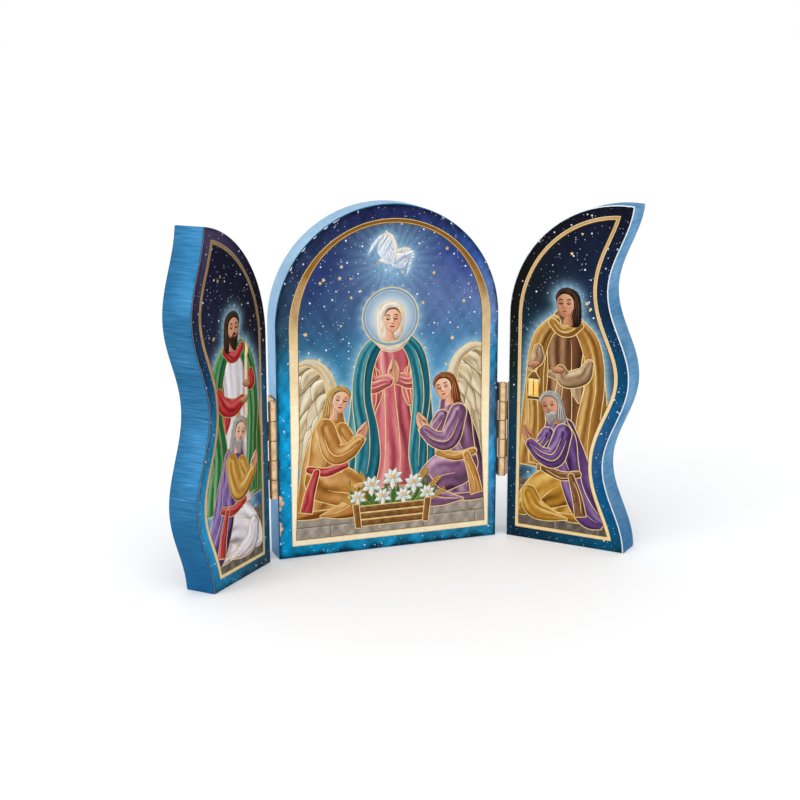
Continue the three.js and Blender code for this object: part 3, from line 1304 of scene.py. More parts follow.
class Hair(Enum):
    """How a head is dressed: the tones of its hair."""

    BROWN = "2c1a10 6b4528 a87a4a"
    AUBURN = "3a1a0c 85492a c48a55"
    FAIR = "6b4a22 b98f52 ecd08c"
    GREY = "55504e a09a96 ded9d2"
    DARK = "120c0a 33241c 6a4f3c"


def spot(place: Array, x: float, z: float, wide: float, tall: float) -> Array:
    """Give a soft round spot, from 1 at its middle to 0 far off."""
    return np.exp(-(((place[:, 0] - x) / wide) ** 2 + ((place[:, 1] - z) / tall) ** 2))


@dataclass(frozen=True)
class Head:
    """A calm, lowered face in three-quarter view, turned to the brush's +x."""

    hair: Hair = Hair.BROWN
    turn: float = 0.6
    skin: str = SKIN
    beard: bool = False
    veil: Cloth | None = None
    halo: bool = False

    def paint(self, brush: Brush) -> None:
        """Paint the head about its middle, one unit from chin to crown.

        Args:
            brush: A brush whose unit is the head's height.
        """
        fine = brush.at(0, 0, grain=FINE_GRAIN)
        strands = self.hair.value
        hair = Cloth(strands, folds=2.0, depth=0.12, outline_width=0)
        if self.halo:
            self.paint_halo(brush)
        if self.veil:
            brush.patch([(-0.45, -0.75), (-0.62, -0.1), (-0.45, 0.5), (0, 0.68), (0.42, 0.46),
                         (0.5, 0), (0.42, -0.6), (0.1, -0.85)], self.veil, soft=0.3)
        else:
            brush.patch([(-0.55, -0.75), (-0.6, -0.1), (-0.48, 0.42), (-0.05, 0.62), (0.36, 0.42),
                         (0.4, 0.1), (0.1, -0.5), (-0.2, -0.85)], hair, soft=0.25)
        neck = Cloth(self.skin, depth=0.05, outline_width=0)
        fine.ribbon([(-0.12, -0.2, 0.16), (-0.08, -0.5, 0.15), (-0.06, -0.8, 0.2)], neck)
        shift = self.shift
        oval = [(0, 0.5), (0.27, 0.42), (0.37, 0.14), (0.34 + shift / 4, -0.12), (0.24 + shift / 2, -0.36),
                (0.05 + shift, -0.5), (-0.15 + shift / 2, -0.38), (-0.31, -0.14), (-0.36, 0.14),
                (-0.26, 0.42)]
        loop = smooth(fine.put(oval), 0.2, closed=True)
        fine.add([loop], lambda points: self.face_tone(fine.local(points)))
        fine.around(loop, 0.12, BROWN_LINE)
        self.paint_features(fine)
        if self.beard:
            fine.patch([(-0.3, -0.12), (-0.2, -0.3), (0.0 + shift, -0.24), (0.14 + shift, -0.3),
                        (0.33, -0.14), (0.3, -0.5), (0.1 + shift, -0.82), (-0.15, -0.6)], hair, soft=0.15)
            fine.line([(shift - 0.12, -0.24), (shift + 0.02, -0.2), (shift + 0.16, -0.25)],
                      0.07, strands, 0.4)
            fine.line([(shift - 0.02, -0.29), (shift + 0.09, -0.29)], 0.05, "a85a50 b8685c c87a6c")
        if self.veil:
            fine.patch([(-0.42, -0.5), (-0.5, 0.1), (-0.38, 0.52), (0, 0.68), (0.36, 0.5), (0.43, 0.16),
                        (0.36, 0.26), (0.2, 0.4), (0, 0.44), (-0.2, 0.36), (-0.32, 0.1), (-0.32, -0.3)],
                       self.veil, soft=0.12)
            fine.line([(-0.3, 0.14), (-0.17, 0.36), (0.03, 0.42), (0.2, 0.38), (0.33, 0.22)], 0.07, strands)
            return
        fine.patch([(-0.46, -0.3), (-0.52, 0.14), (-0.36, 0.5), (-0.02, 0.63), (0.32, 0.48), (0.4, 0.14),
                    (0.3, 0.26), (0.12, 0.38), (-0.12, 0.34), (-0.28, 0.16), (-0.31, -0.12)], hair,
                   soft=0.12)
        for strand in range(7):
            share = strand / 6
            fine.line([(0.08, 0.6 - 0.16 * share), (-0.28 + 0.05 * share, 0.46 - 0.1 * share),
                       (-0.5 + 0.16 * share, 0.05), (-0.52 + 0.34 * share, -0.7 + 0.1 * share)],
                      0.035, strands, 0.95 if strand % 2 else 0.12)
        for strand in range(3):
            fine.line([(0.1, 0.58 - 0.06 * strand), (0.26, 0.46 - 0.05 * strand), (0.37, 0.2)],
                      0.03, strands, 0.9 if strand % 2 else 0.15)

    @property
    def shift(self) -> float:
        """Give how far the turn brings the features to the side."""
        return 0.12 * self.turn

    def face_tone(self, place: Array) -> Array:
        """Give the skin's colour at places in the head's units.

        Args:
            place: Rows of x and z.

        Returns:
            A colour for each place.
        """
        x, z = place.T
        face = place - (self.shift, 0)
        level = 0.66 - 0.35 * x + 0.16 * z - 0.9 * np.clip(np.hypot(x, z * 0.75) - 0.26, 0, 1)
        level -= 0.16 * spot(face, 0.06, -0.1, 0.05, 0.05)
        sockets = spot(face, -0.17, 0.06, 0.1, 0.06) + spot(face, 0.17, 0.06, 0.1, 0.06)
        level -= 0.14 * sockets + 0.12 * spot(face, 0, -0.36, 0.1, 0.04)
        level += 0.16 * spot(face, 0, -0.02, 0.05, 0.12)
        blush = spot(face, -0.2, -0.14, 0.1, 0.09) + spot(face, 0.2, -0.14, 0.1, 0.09)
        colour = blend_tones(self.skin, level)
        return colour + 0.4 * blush[:, None] * (linear(BLUSH) - colour)

    def paint_features(self, fine: Brush) -> None:
        """Paint brows, lowered lids, nose and mouth.

        Args:
            fine: A fine brush in the head's units.
        """
        eye = ((((-0.1, 0.14), (-0.01, 0.18), (0.1, 0.14)), 0.045, self.hair.value, 0.35),
               (((-0.085, 0.035), (0, 0), (0.085, 0.03)), 0.055, BROWN_LINE, 0.1),
               (((-0.07, 0.08), (0, 0.1), (0.07, 0.08)), 0.03, BROWN_LINE, 0.9))
        nose_and_mouth = ((((0.035, 0.1), (0.075, -0.06), (0.06, -0.13)), 0.035, BROWN_LINE, 1),
                          (((-0.05, -0.14), (0.01, -0.165), (0.07, -0.14)), 0.035, BROWN_LINE, 0.8),
                          (((-0.1, -0.26), (0, -0.275), (0.1, -0.26)), 0.07, LIPS, 0.6),
                          (((-0.09, -0.262), (0, -0.27), (0.09, -0.262)), 0.022, BROWN_LINE, 0.2))
        for aside, lines in ((-0.17, eye), (0.15, eye), (0, nose_and_mouth)):
            x = self.shift + aside
            for points, width, tones, level in lines:
                fine.line([(x + across, z) for across, z in points], width, tones, level)

    def paint_halo(self, brush: Brush) -> None:
        """Draw a foil halo: two rings and a soft disc of light.

        Args:
            brush: The head's brush.
        """
        middle, reach = (-0.05, 0.1), 1.12
        disc = brush.put(polar(np.linspace(0, 2 * math.pi, 60, endpoint=False), reach, *middle))

        def glow(points: Array) -> Array:
            """Fade from warm light to the sky's blue."""
            radius = np.hypot(*(brush.local(points) - middle).T)
            return blend_tones("fff6d8 d8dfe0 6f9fc4", radius / reach)

        brush.add([disc], glow, NIGHT_SOFT)
        brush.around(disc, 0.4)
        brush.circle(*middle, 1, 0.18)


def paint_hands(brush: Brush, skin: str = SKIN) -> None:
    """Paint two hands joined in prayer, one unit long, pointing up from the wrists.

    Args:
        brush: A brush whose unit is the hands' length.
        skin: The skin's tones.
    """
    palm = Cloth(skin, folds=1.5, depth=0.2, outline=BROWN_LINE, outline_width=0.1)
    fine = brush.at(0, 0, grain=FINE_GRAIN)
    fine.ribbon([(0.08, 0, 0.2), (0.14, 0.4, 0.2), (0.1, 0.75, 0.14), (0.06, 1, 0.04)], palm)
    fine.ribbon([(-0.08, 0, 0.2), (-0.1, 0.38, 0.19), (-0.02, 0.72, 0.14), (0.04, 1.02, 0.05)], palm)
    fine.line([(-0.12, 0.3), (0, 0.6), (0.04, 0.95)], 0.04, BROWN_LINE, 0.8)
    fine.line([(-0.2, 0.22), (-0.12, 0.45), (0, 0.5)], 0.06, BROWN_LINE, 0.9)


@dataclass(frozen=True)
class Feathers:
    """A folded or raised wing of overlapping feathers."""

    tones: str = CREAM
    count: int = 9
    quill: str = "5e4a32 84694a a8895f"

    def paint(self, brush: Brush) -> None:
        """Paint a wing that rises from the origin and sweeps back to -x, about one unit tall.

        Args:
            brush: A brush whose unit is the wing's height.
        """
        edge = smooth([(0, 0), (-0.06, 0.42), (-0.26, 0.78), (-0.5, 0.88), (-0.66, 0.8)], 0.02)
        under = Cloth(self.tones, depth=0.05, outline_width=0)
        brush.patch([(0.02, 0), (-0.1, 0.5), (-0.4, 0.84), (-0.72, 0.5), (-0.78, 0.05), (-0.4, -0.25),
                     (-0.05, -0.3)], under, soft=0.3)
        for shade, (length, width) in enumerate(((1, 0.1), (0.66, 0.085), (0.36, 0.07))):
            for index in reversed(range(self.count)):
                share = index / (self.count - 1)
                root = edge[round(share * (len(edge) - 1))]
                tip = root + length * (0.5 + 0.5 * share) * heading(-92 - 30 * share)
                middle = (root + tip) / 2 + (-0.05, 0.02)
                feather = Cloth(self.tones, folds=1.2, depth=0.3, seed=index + shade,
                                outline=self.quill, outline_width=0.16)
                brush.ribbon([(*root, width * 0.6), (*middle, width), (*tip, 0.01)], feather)
        ridge = Cloth(self.tones, folds=2, depth=0.15, seed=2.0)
        brush.ribbon([(0.02, -0.04, 0.05), (-0.05, 0.42, 0.07), (-0.26, 0.79, 0.06), (-0.5, 0.89, 0.045),
                      (-0.68, 0.8, 0.015)], ridge)


@dataclass(frozen=True)
class Dress:
    """The cloths of one figure."""

    robe: Cloth
    mantle: Cloth
    sleeve: Cloth
    sash: Cloth


@dataclass(frozen=True)
class KneelingFigure:
    """Someone on their knees, leaning a little forward, with joined hands."""

    dress: Dress
    head: Head
    wings: Feathers | None = None
    cloaked: bool = False

    def paint(self, brush: Brush) -> None:
        """Paint the figure facing +x, about 45 units tall, knees on z = 0.

        Args:
            brush: A brush whose origin is on the ground under the hips.
        """
        dress, ribbon, limb = self.dress, brush.ribbon, brush.limb
        if self.wings:
            self.wings.paint(brush.at(-2.5, 25, scale=30, tilt=-20))
        ribbon([(2, 8, 5.5), (-6, 4.5, 5), (-13, 2.2, 2.6), (-18, 1.2, 0.8)], dress.robe)
        ribbon([(-1, 30, 6.2), (-3.5, 20, 7.4), (-4, 10, 8.6), (-4, 2.5, 9.5)], dress.robe)
        limb([(-3, 13, 7.5), (4, 10, 7), (9.5, 6, 5), (12.5, 3, 3.4)], dress.robe)
        ribbon([(10, 8, 3.2), (8, 3.4, 4), (3, 1.4, 2.8), (-5, 0.4, 0.3)], dress.robe)
        if self.cloaked:
            ribbon([(-3.5, 34, 3.4), (-6, 24, 5.4), (-9, 13, 6.4), (-14, 4, 6.2), (-19, 0.5, 2.4)],
                   dress.mantle)
        ribbon([(0, 35.5, 4.2), (-0.8, 30, 6.6), (-2, 22, 6.6), (-3, 17, 6.4)],
               dress.mantle if self.cloaked else dress.robe)
        limb([(-8.6, 17.6, 1.3), (-2.5, 16.2, 1.7), (4.4, 18.2, 1.4)], dress.sash)
        ribbon([(-6, 16.5, 1.2), (-8.5, 9, 1.9), (-10, 2, 2.3)], dress.sash)
        self.head.paint(brush.at(2.6, 41.4, scale=8.6, tilt=-14))
        hands = brush.at(9.6, 27.2, scale=6.4, tilt=-22)
        limb([(3.4, 31, 2.6), (6.5, 25.5, 2.9), (10.4, 27.2, 1.7)], dress.sleeve)
        paint_hands(hands, self.head.skin)
        limb([(-2.6, 32, 3.4), (0.5, 23, 3.9), (5.5, 23, 3), (9.6, 26.4, 2.1)], dress.sleeve)


@dataclass(frozen=True)
class StandingFigure:
    """Someone standing, with a mantle over a long robe."""

    dress: Dress
    head: Head
    collar: Cloth
    held: Callable[[Brush], None] | None = None

    def paint(self, brush: Brush) -> None:
        """Paint the figure facing +x, about 66 units tall, feet on z = 0.

        Args:
            brush: A brush whose origin is on the ground between the feet.
        """
        dress, head, ribbon, limb = self.dress, self.head, brush.ribbon, brush.limb
        ribbon([(-6.5, 47, 3.4), (-9.6, 36, 4.2), (-10.8, 20, 5), (-11.5, 2, 5.8)], dress.mantle)
        ribbon([(6.5, 47, 3.4), (9.4, 36, 4), (10.4, 21, 4.6), (11, 3, 5.2)], dress.mantle)
        ribbon([(0, 53, 5), (0, 46, 6.4), (0.2, 34, 5.8), (0, 18, 7.8), (0, 1.5, 9.4)], dress.robe)
        if dress.sash is not dress.robe:
            ribbon([(-6, 35.4, 1.1), (0, 34.4, 1.3), (6, 35.6, 1.1)], dress.sash)
            ribbon([(1.4, 34, 1), (2.4, 24, 1.4), (2, 14, 1.8)], dress.sash)
        if not self.held:
            ribbon([(6.4, 41, 2), (6, 35, 2.4), (6.6, 29.5, 0.9)], dress.sleeve)
            limb([(8.4, 44, 2.4), (7.4, 38.2, 2.9), (2.4, 38.8, 2)], dress.sleeve)
            paint_hands(brush.at(0.6, 38.8, scale=7.2, tilt=4), head.skin)
            ribbon([(-6.6, 41, 2.2), (-6.2, 34.5, 2.8), (-6.9, 28, 1)], dress.sleeve)
            limb([(-8.4, 44, 2.4), (-7.4, 37.6, 3.1), (-1.6, 38.4, 2.1)], dress.sleeve)
        ribbon([(4, 53, 2.2), (8, 48, 3), (10, 41, 3.1), (10.6, 32, 3.1), (9.6, 22, 2.9),
                (9.4, 12, 3.4), (9.8, 4, 2.4)], dress.mantle)
        ribbon([(-4, 53, 2.2), (-8, 48, 3.2), (-10.2, 41, 3.3), (-10.6, 32, 3.4),
                (-9, 22, 4), (-8.6, 12, 4.4), (-9.8, 3, 3.8)], dress.mantle)
        limb([(-4.8, 52.6, 1.5), (-1.6, 50.4, 1.9), (1.8, 50.4, 1.8), (4.8, 52.8, 1.4)], self.collar)
        if self.held:
            self.held(brush)
        head.paint(brush.at(0, 59.2, scale=8.8, tilt=-4 * head.turn))


# ---- painted things


LEAF = "1f3a1c 4f7a3a a8c07a"
TIMBER = "3e2615 8a6238 c9a06a"
STRAW = "7a5a1e cfa64e f7e2a0"


def paint_lily(brush: Brush, stem: Points) -> None:
    """Paint a white lily, one unit across, at the upper end of its stem.

    Args:
        brush: A brush whose unit is the flower's width.
        stem: Points up the stem to the flower.
    """
    brush.line(stem, 0.09, LEAF, 0.45)
    top = np.array(stem[-1])
    petal = Cloth("93a08a e6e8e4 ffffff", folds=1.0, depth=0.12,
                  outline="5f7a5a 7d926f a3b58e", outline_width=0.14)
    for turn in (200, 340, 150, 30, 110, 70, 270):
        ahead = heading(turn)
        brush.ribbon([(*top, 0.05), (*(top + 0.3 * ahead), 0.15), (*(top + 0.58 * ahead), 0.02)], petal)
    for turn in (60, 90, 120):
        ahead = heading(turn)
        brush.line([top, top + 0.26 * ahead], 0.06, "9a5a12 d8962a ffd76a", 0.7)


def paint_wheat(brush: Brush, foot: tuple[float, float], head: tuple[float, float]) -> None:
    """Paint an ear of wheat on its stalk, in millimetres.

    Args:
        brush: A brush in millimetres.
        foot: Where the stalk starts.
        head: The ear's tip.
    """
    start, end = np.array(foot, float), np.array(head, float)
    brush.line([start, (start + end) / 2 + (0.4, 0.3), end], 0.28, STRAW, 0.45)
    ahead = (end - start) / np.linalg.norm(end - start)
    aside = np.array([-ahead[1], ahead[0]])
    grain = Cloth(STRAW, folds=0.5, depth=0.1, outline="6b4a16 8a6422 a8823c", outline_width=0.1)
    for index in range(7):
        place = end - ahead * 0.9 * index
        for side in (-1, 1):
            tip = place + ahead * 1.1 + aside * side * 0.75
            middle = (place + tip) / 2 + aside * side * 0.2
            brush.ribbon([(*place, 0.16), (*middle, 0.34), (*tip, 0.05)], grain)


def paint_planter(brush: Brush) -> None:
    """Paint a low slatted box of lilies, leaves and wheat, in millimetres about its foot.

    Args:
        brush: A brush in millimetres, its origin at the foot.
    """
    rng = np.random.default_rng(5)
    for index in range(15):
        lean = -14 + 2 * index
        leaf = Cloth(LEAF, folds=1.0, depth=0.25, seed=index, outline="1a2f16 2f4f24 4f6f3a",
                     outline_width=0.12)
        tip = (lean * 1.15 + rng.uniform(-1, 1), 12.5 + rng.uniform(0, 6))
        brush.ribbon([(lean * 0.7, 6, 0.6), ((lean + tip[0]) / 2 * 0.95, 10, 0.8), (*tip, 0.05)], leaf)
    for foot, head in (((-7, 7), (-16, 15.5)), ((-4, 7), (-11.5, 19)), ((5, 7), (12.5, 18.5)),
                       ((8, 7), (17, 15)), ((-9, 6), (-18, 11)), ((10, 6), (19, 10.5))):
        paint_wheat(brush, foot, head)
    for foot, head, size in (((-3, 7), (-7.5, 14.5), 6.4), ((3, 7), (8, 14), 6.4),
                             ((0, 7), (0.2, 16.5), 6.8), ((-6, 7), (-12.5, 10.5), 5.4),
                             ((6, 7), (13, 10), 5.4), ((0, 7), (-3.4, 10.2), 5.6),
                             ((1, 7), (4.2, 9.8), 5.6)):
        stem = [np.array(p) / size for p in (foot, ((foot[0] + head[0]) / 2, head[1] * 0.8), head)]
        paint_lily(brush.at(0, 0, scale=size), stem)
    for index in range(3):
        low, high = 0.3 + 2.5 * index, 2.6 + 2.5 * index
        wide = 11.6 + 0.55 * index
        slat = Cloth(TIMBER, folds=2.0, depth=0.16, seed=index)
        brush.patch([(-wide, low), (wide, low), (wide + 0.5, high), (-wide - 0.5, high)], slat, soft=0.8,
                    straight=True)
        for line in range(3):
            height = low + 0.6 + 0.55 * line
            begin, end = rng.uniform(-10, -2), rng.uniform(2, 10)
            middle = ((begin + end) / 2, height + 0.15)
            brush.line([(begin, height), middle, (end, height)], 0.14, TIMBER, 0.15)
    for side in (-1, 1):
        post = Cloth(TIMBER, folds=1.0, depth=0.1)
        corners = [(side * 11.2, -0.3), (side * 13.4, -0.2), (side * 14.4, 8.4), (side * 12.1, 8.4)]
        brush.patch(corners, post, soft=0.8, straight=True)


def paint_dove(brush: Brush) -> None:
    """Paint a white dove in flight towards -x, about 14 units across.

    Args:
        brush: A brush with its origin in the dove's body.
    """
    plume = Feathers("8fa3bd e3e8ef ffffff", count=6, quill="7f93ad 9fb0c6 c0ccda")
    body = Cloth("8fa3bd eef1f5 ffffff", folds=0.6, depth=0.08,
                 outline="5d7391 7f93ad a9b8ca", outline_width=0.16)
    plume.paint(brush.at(-1.2, 0.9, scale=7.6, tilt=-58, mirror=True))
    for turn in (-22, -8, 6):
        ahead = heading(turn)
        brush.ribbon([(2.6, 0.3, 0.4), (*(np.array([3.4, 0.3]) + 2.4 * ahead), 0.8),
                      (*(np.array([3.4, 0.3]) + 4.4 * ahead), 0.3)], body)
    brush.limb([(3.6, 0.5, 0.7), (1.4, 0.3, 1.6), (-1.4, -0.2, 1.9), (-3.8, 0.3, 1.25), (-4.8, 0.5, 0.9)],
                 body)
    plume.paint(brush.at(0.6, 0.9, scale=8.4, tilt=-20))
    brush.line([(-5.5, 0.5), (-6.2, 0.35), (-6.8, 0.1)], 0.5, "8a5a1a c98a35 e8b566")
    brush.line([(-5, 0.9), (-4.8, 0.92)], 0.35, BROWN_LINE, 0)


def paint_candle(brush: Brush) -> None:
    """Paint a lit candle held in both hands, in a standing figure's units."""
    wax = Cloth("a8946a efe2bd fffbe8", folds=0.5, depth=0.05, outline_width=0.16)
    brush.ribbon([(6.6, 30, 0.95), (6.9, 40, 0.9), (7.2, 49, 0.85)], wax)
    brush.ribbon([(7.2, 49.4, 0.75), (7.6, 51.2, 0.9), (7.2, 54, 0.06)],
                 Cloth("ffb23c fff0a8 ffffff", folds=0.4, depth=0.05, outline_width=0.16))


def paint_lantern(brush: Brush) -> None:
    """Paint a small glowing lantern hanging from a hand, in a standing figure's units.

    Args:
        brush: The standing figure's brush.
    """
    metal = Cloth("2e2216 6e5230 b08a52", folds=1, depth=0.15)
    glass = Cloth("e0902c ffd777 fffbe0", folds=0.6, depth=0.1)
    brush.patch([(9.2, 27), (12.8, 27), (13.2, 33), (8.8, 33)], glass, soft=1.2, straight=True)
    brush.patch([(8.6, 26), (13.4, 26), (13.2, 27.2), (8.8, 27.2)], metal, soft=0.5, straight=True)
    brush.patch([(8.6, 33), (13.4, 33), (11.6, 35.6), (10.4, 35.6)], metal, soft=0.5, straight=True)
    for x in (9, 11, 13):
        brush.line([(x, 27), (x, 33)], 0.35, "2e2216 6e5230 b08a52", 0.4)
    brush.circle(11, 36.8, 1.2, 0.25)


@dataclass(frozen=True)
class TwoHands:
    """Both sleeves and hands of a standing figure, closed round a thing it carries."""

    thing: Callable[[Brush], None]
    sleeve: Cloth
    skin: str = SKIN
    far: tuple[float, float] = (6.6, 40.4)
    near: tuple[float, float] = (6.4, 35.4)

    def __call__(self, brush: Brush) -> None:
        """Paint the far arm, the thing and the near arm.

        Args:
            brush: The standing figure's brush.
        """
        far, near = np.array(self.far), np.array(self.near)
        fist = Cloth(self.skin, folds=2.0, depth=0.2, outline=BROWN_LINE, outline_width=0.1)
        brush.limb([(9.6, 43.5, 1.6), (9.8, 40.4, 2.4), (*(far + (1.2, -0.6)), 1.8)], self.sleeve)
        self.thing(brush)
        brush.limb([(*(far + (1.6, -0.4)), 0.9), (*far, 1.15), (*(far + (-1, 0.2)), 0.7)], fist)
        brush.ribbon([(-5.2, 35.5, 1.2), (-4.6, 31, 2.2), (-5.4, 26.5, 0.4)], self.sleeve)
        brush.limb([(-8.6, 40, 1.6), (-6.4, 35.8, 2.9), (-0.6, 34, 2.8), (*(near + (-2, 0)), 1.9)],
                   self.sleeve)
        brush.limb([(*(near + (-2.2, 0)), 0.95), (*near, 1.2), (*(near + (1, 0.5)), 0.7)], fist)


# ---- pictures


@dataclass(frozen=True)
class Sky:
    """A painted sky: tones by height in millimetres, at the sheet's two sides."""

    left: dict[float, str]
    right: dict[float, str]
    edges: tuple[float, float]
    cloud: float = 0.14

    def tone(self, points: Array) -> Array:
        """Give the sky's colour at some places.

        Args:
            points: Rows of x and z.

        Returns:
            A colour for each point.
        """
        share = np.clip((points[:, 0] - self.edges[0]) / (self.edges[1] - self.edges[0]), 0, 1)[:, None]
        height = points[:, 1] + 2.5 * ripple(points, 7.0)
        sides = []
        for stops in (self.left, self.right):
            colours = np.array([linear(code) for code in stops.values()])
            sides.append(np.stack([np.interp(height, list(stops), channel) for channel in colours.T], 1))
        mixed = sides[0] + (sides[1] - sides[0]) * share ** 2 * (3 - 2 * share)
        large, small = self.cloud * ripple(points, 4.0, 2.0), self.cloud * ripple(points, 1.6, 5.0)
        return mixed * (1 + large + small)[:, None]


@dataclass
class Picture:
    """A sheet's whole design: sky, figures, gold line, border and stars."""

    triptych: Triptych
    side: Side
    inner: Sky
    border: Sky
    ground: str
    horizon: float
    paint_figures: Callable[[Brush], None]
    rim_inset: float = 0.22
    bottom: float = 4.1
    edge_inset: float = 4.1
    hinge_inset: float = 3.6
    line_width: float = 1.2
    courses: int = 5
    star_count: int = 26
    seed: int = 3
    rub: float = 0.8
    ragged: float = 0.03
    cut_edge: str = "1d4a6c"
    glow_tone: str = "a9d4ea"
    glow_reach: float = 1.7
    glow: float = 0.7
    course_fall: float = 0.78
    stone_length: float = 3.4
    rub_reach: float = 0.7
    foot_rub_reach: float = 1.9
    star_size: tuple[float, float] = (0.35, 0.95)
    light: Callable[[Array], Array] | None = None
    gold_tones: str = "f4d9a0 f0d9a8 d9b98a b08a5e"

    def rim(self) -> Array:
        """Give the sheet's slightly ragged outline, set in by the board's eased edge."""
        rim = self.loop(self.rim_inset, self.rim_inset)
        return swollen(rim, -self.ragged * (1 + ripple(rim, 0.45))[:, None])

    def loop(self, inset: float, hinge_inset: float) -> Array:
        """Give a loop inside the board's outline, in sheet millimetres."""
        loop = self.triptych.outline(self.side).loop(inset, hinge_inset)
        return np.stack([self.triptych.sheet_x(self.side, loop[:, 0]), loop[:, 1]], 1)

    def band(self) -> tuple[Array, Array]:
        """Give the outer and inner loops of the gold line."""
        return (self.loop(self.edge_inset, self.hinge_inset),
                self.loop(self.edge_inset + self.line_width, self.hinge_inset + self.line_width))

    def forms(self) -> list[Form]:
        """Paint everything, in order.

        Returns:
            The forms, the later ones over the earlier ones.
        """
        figures = Brush([])
        self.paint_figures(figures)
        marks = np.concatenate([form.loops[0][::3] for form in figures.forms if form.grain])
        near = KDTree(len(marks))
        for index, mark in enumerate(marks):
            near.insert((*mark, 0.0), index)
        near.balance()

        def night(points: Array) -> Array:
            """Lighten the sky round the figures."""
            gap = np.array([near.find((*point, 0.0))[2] for point in points])
            glow = self.glow * np.exp(-(gap / self.glow_reach) ** 1.4)
            if self.light:
                glow = np.maximum(glow, self.light(points))
            tone = self.inner.tone(points)
            return tone + np.clip(glow, 0, 1)[:, None] * (linear(self.glow_tone) - tone)

        rim = self.rim()
        outer, inner = self.band()
        sheet = Brush([])
        sheet.add([rim], night, NIGHT, fine=False)
        self.scatter_stars(sheet, inner)
        self.paint_ground(sheet, rim)
        sheet.forms += figures.forms
        sheet.add([rim, outer], self.edge_tone(rim), NIGHT_BORDER, fine=False)
        self.paint_gold_line(sheet, outer, inner)
        if self.side is Side.CENTER:
            paint_chips(sheet, rim)
        return sheet.forms

    def paint_gold_line(self, sheet: Brush, outer: Array, inner: Array) -> None:
        """Lay the gold line between the border and the picture.

        Args:
            sheet: A brush in sheet millimetres.
            outer: The line's outer loop.
            inner: Its inner loop.
        """
        top = self.triptych.panel_height

        def gold(points: Array) -> Array:
            """Darken the gold to bronze towards the top of the arch, as a painted reflection on the foil."""
            height = points[:, 1] / top
            return blend_tones(self.gold_tones, np.clip(height, 0, 1) + 0.05 * ripple(points, 5.0))

        sheet.add([outer, inner], gold, FOIL, fine=False)
        # Painted reflection: the light gold lines along the band's outer and inner edges stand for highlights
        # on the foil, and the dark line inside them for its shadow.
        sheet.around(outer, 0.2)
        sheet.around(swollen(inner, 0.26), 0.16)
        sheet.around(inner, 0.22, "33261a 6b5236 8f744c")

    def paint_ground(self, sheet: Brush, rim: Array) -> None:
        """Lay courses of paving, each taller than the one behind it.

        Args:
            sheet: A brush in sheet millimetres.
            rim: The sheet's outline.
        """
        low, high = rim[:, 0].min(), rim[:, 0].max()
        rng = np.random.default_rng(self.seed)
        heights = self.course_fall ** np.arange(self.courses)
        heights *= (self.horizon - self.bottom) / heights.sum()
        height = self.bottom
        for course in heights:
            wide = course * self.stone_length
            x = low - rng.uniform(0, wide)
            while x < high:
                end = x + wide * rng.uniform(0.75, 1.25)
                stone = Cloth(self.ground, folds=1.5, depth=rng.uniform(0.1, 0.3), seed=rng.uniform(0, 9),
                              outline="4a443e 6b6258 857b6c", outline_width=0.22)
                corners = [(x, height), (end, height), (end, height + course), (x, height + course)]
                sheet.patch(corners, stone, soft=0.9, straight=True, round_=0.25)
                x = end
            height += course

    def edge_tone(self, rim: Array) -> Shade:
        """Make the border's shade, which is rubbed dark in places along the cut edge.

        Args:
            rim: The sheet's outline.

        Returns:
            The shade.
        """
        ring = np.concatenate([rim, rim[:1]])

        def shade(points: Array) -> Array:
            """Darken the border near the rim, most at the foot."""
            gap = np.abs(nearest(points, ring)[1])
            rubbed = self.rub * np.exp(-gap / self.rub_reach) * (0.75 + 0.6 * ripple(points, 2.2, 1.0))
            at_foot = self.rub * np.exp(-points[:, 1] / self.foot_rub_reach)
            rubbed += at_foot * (0.45 + 1.2 * ripple(points, 4.0, 4.0))
            return self.border.tone(points) * (1 - 0.86 * np.clip(rubbed, 0, 1))[:, None]

        return shade

    def scatter_stars(self, sheet: Brush, inner: Array) -> None:
        """Scatter gold stars over the sky inside the gold line.

        Args:
            sheet: A brush in sheet millimetres.
            inner: The loop that they stay inside.
        """
        rng = np.random.default_rng(self.seed)
        low, high = inner.min(0), inner.max(0)
        low[1] = self.horizon
        for _ in range(self.star_count):
            place = rng.uniform(low, high)
            size = rng.uniform(*self.star_size)
            if inside(place[None], [inner])[0]:
                sheet.star(*place, size, points=5 if size > 0.6 else 3, tilt=rng.uniform(0, 1.2))


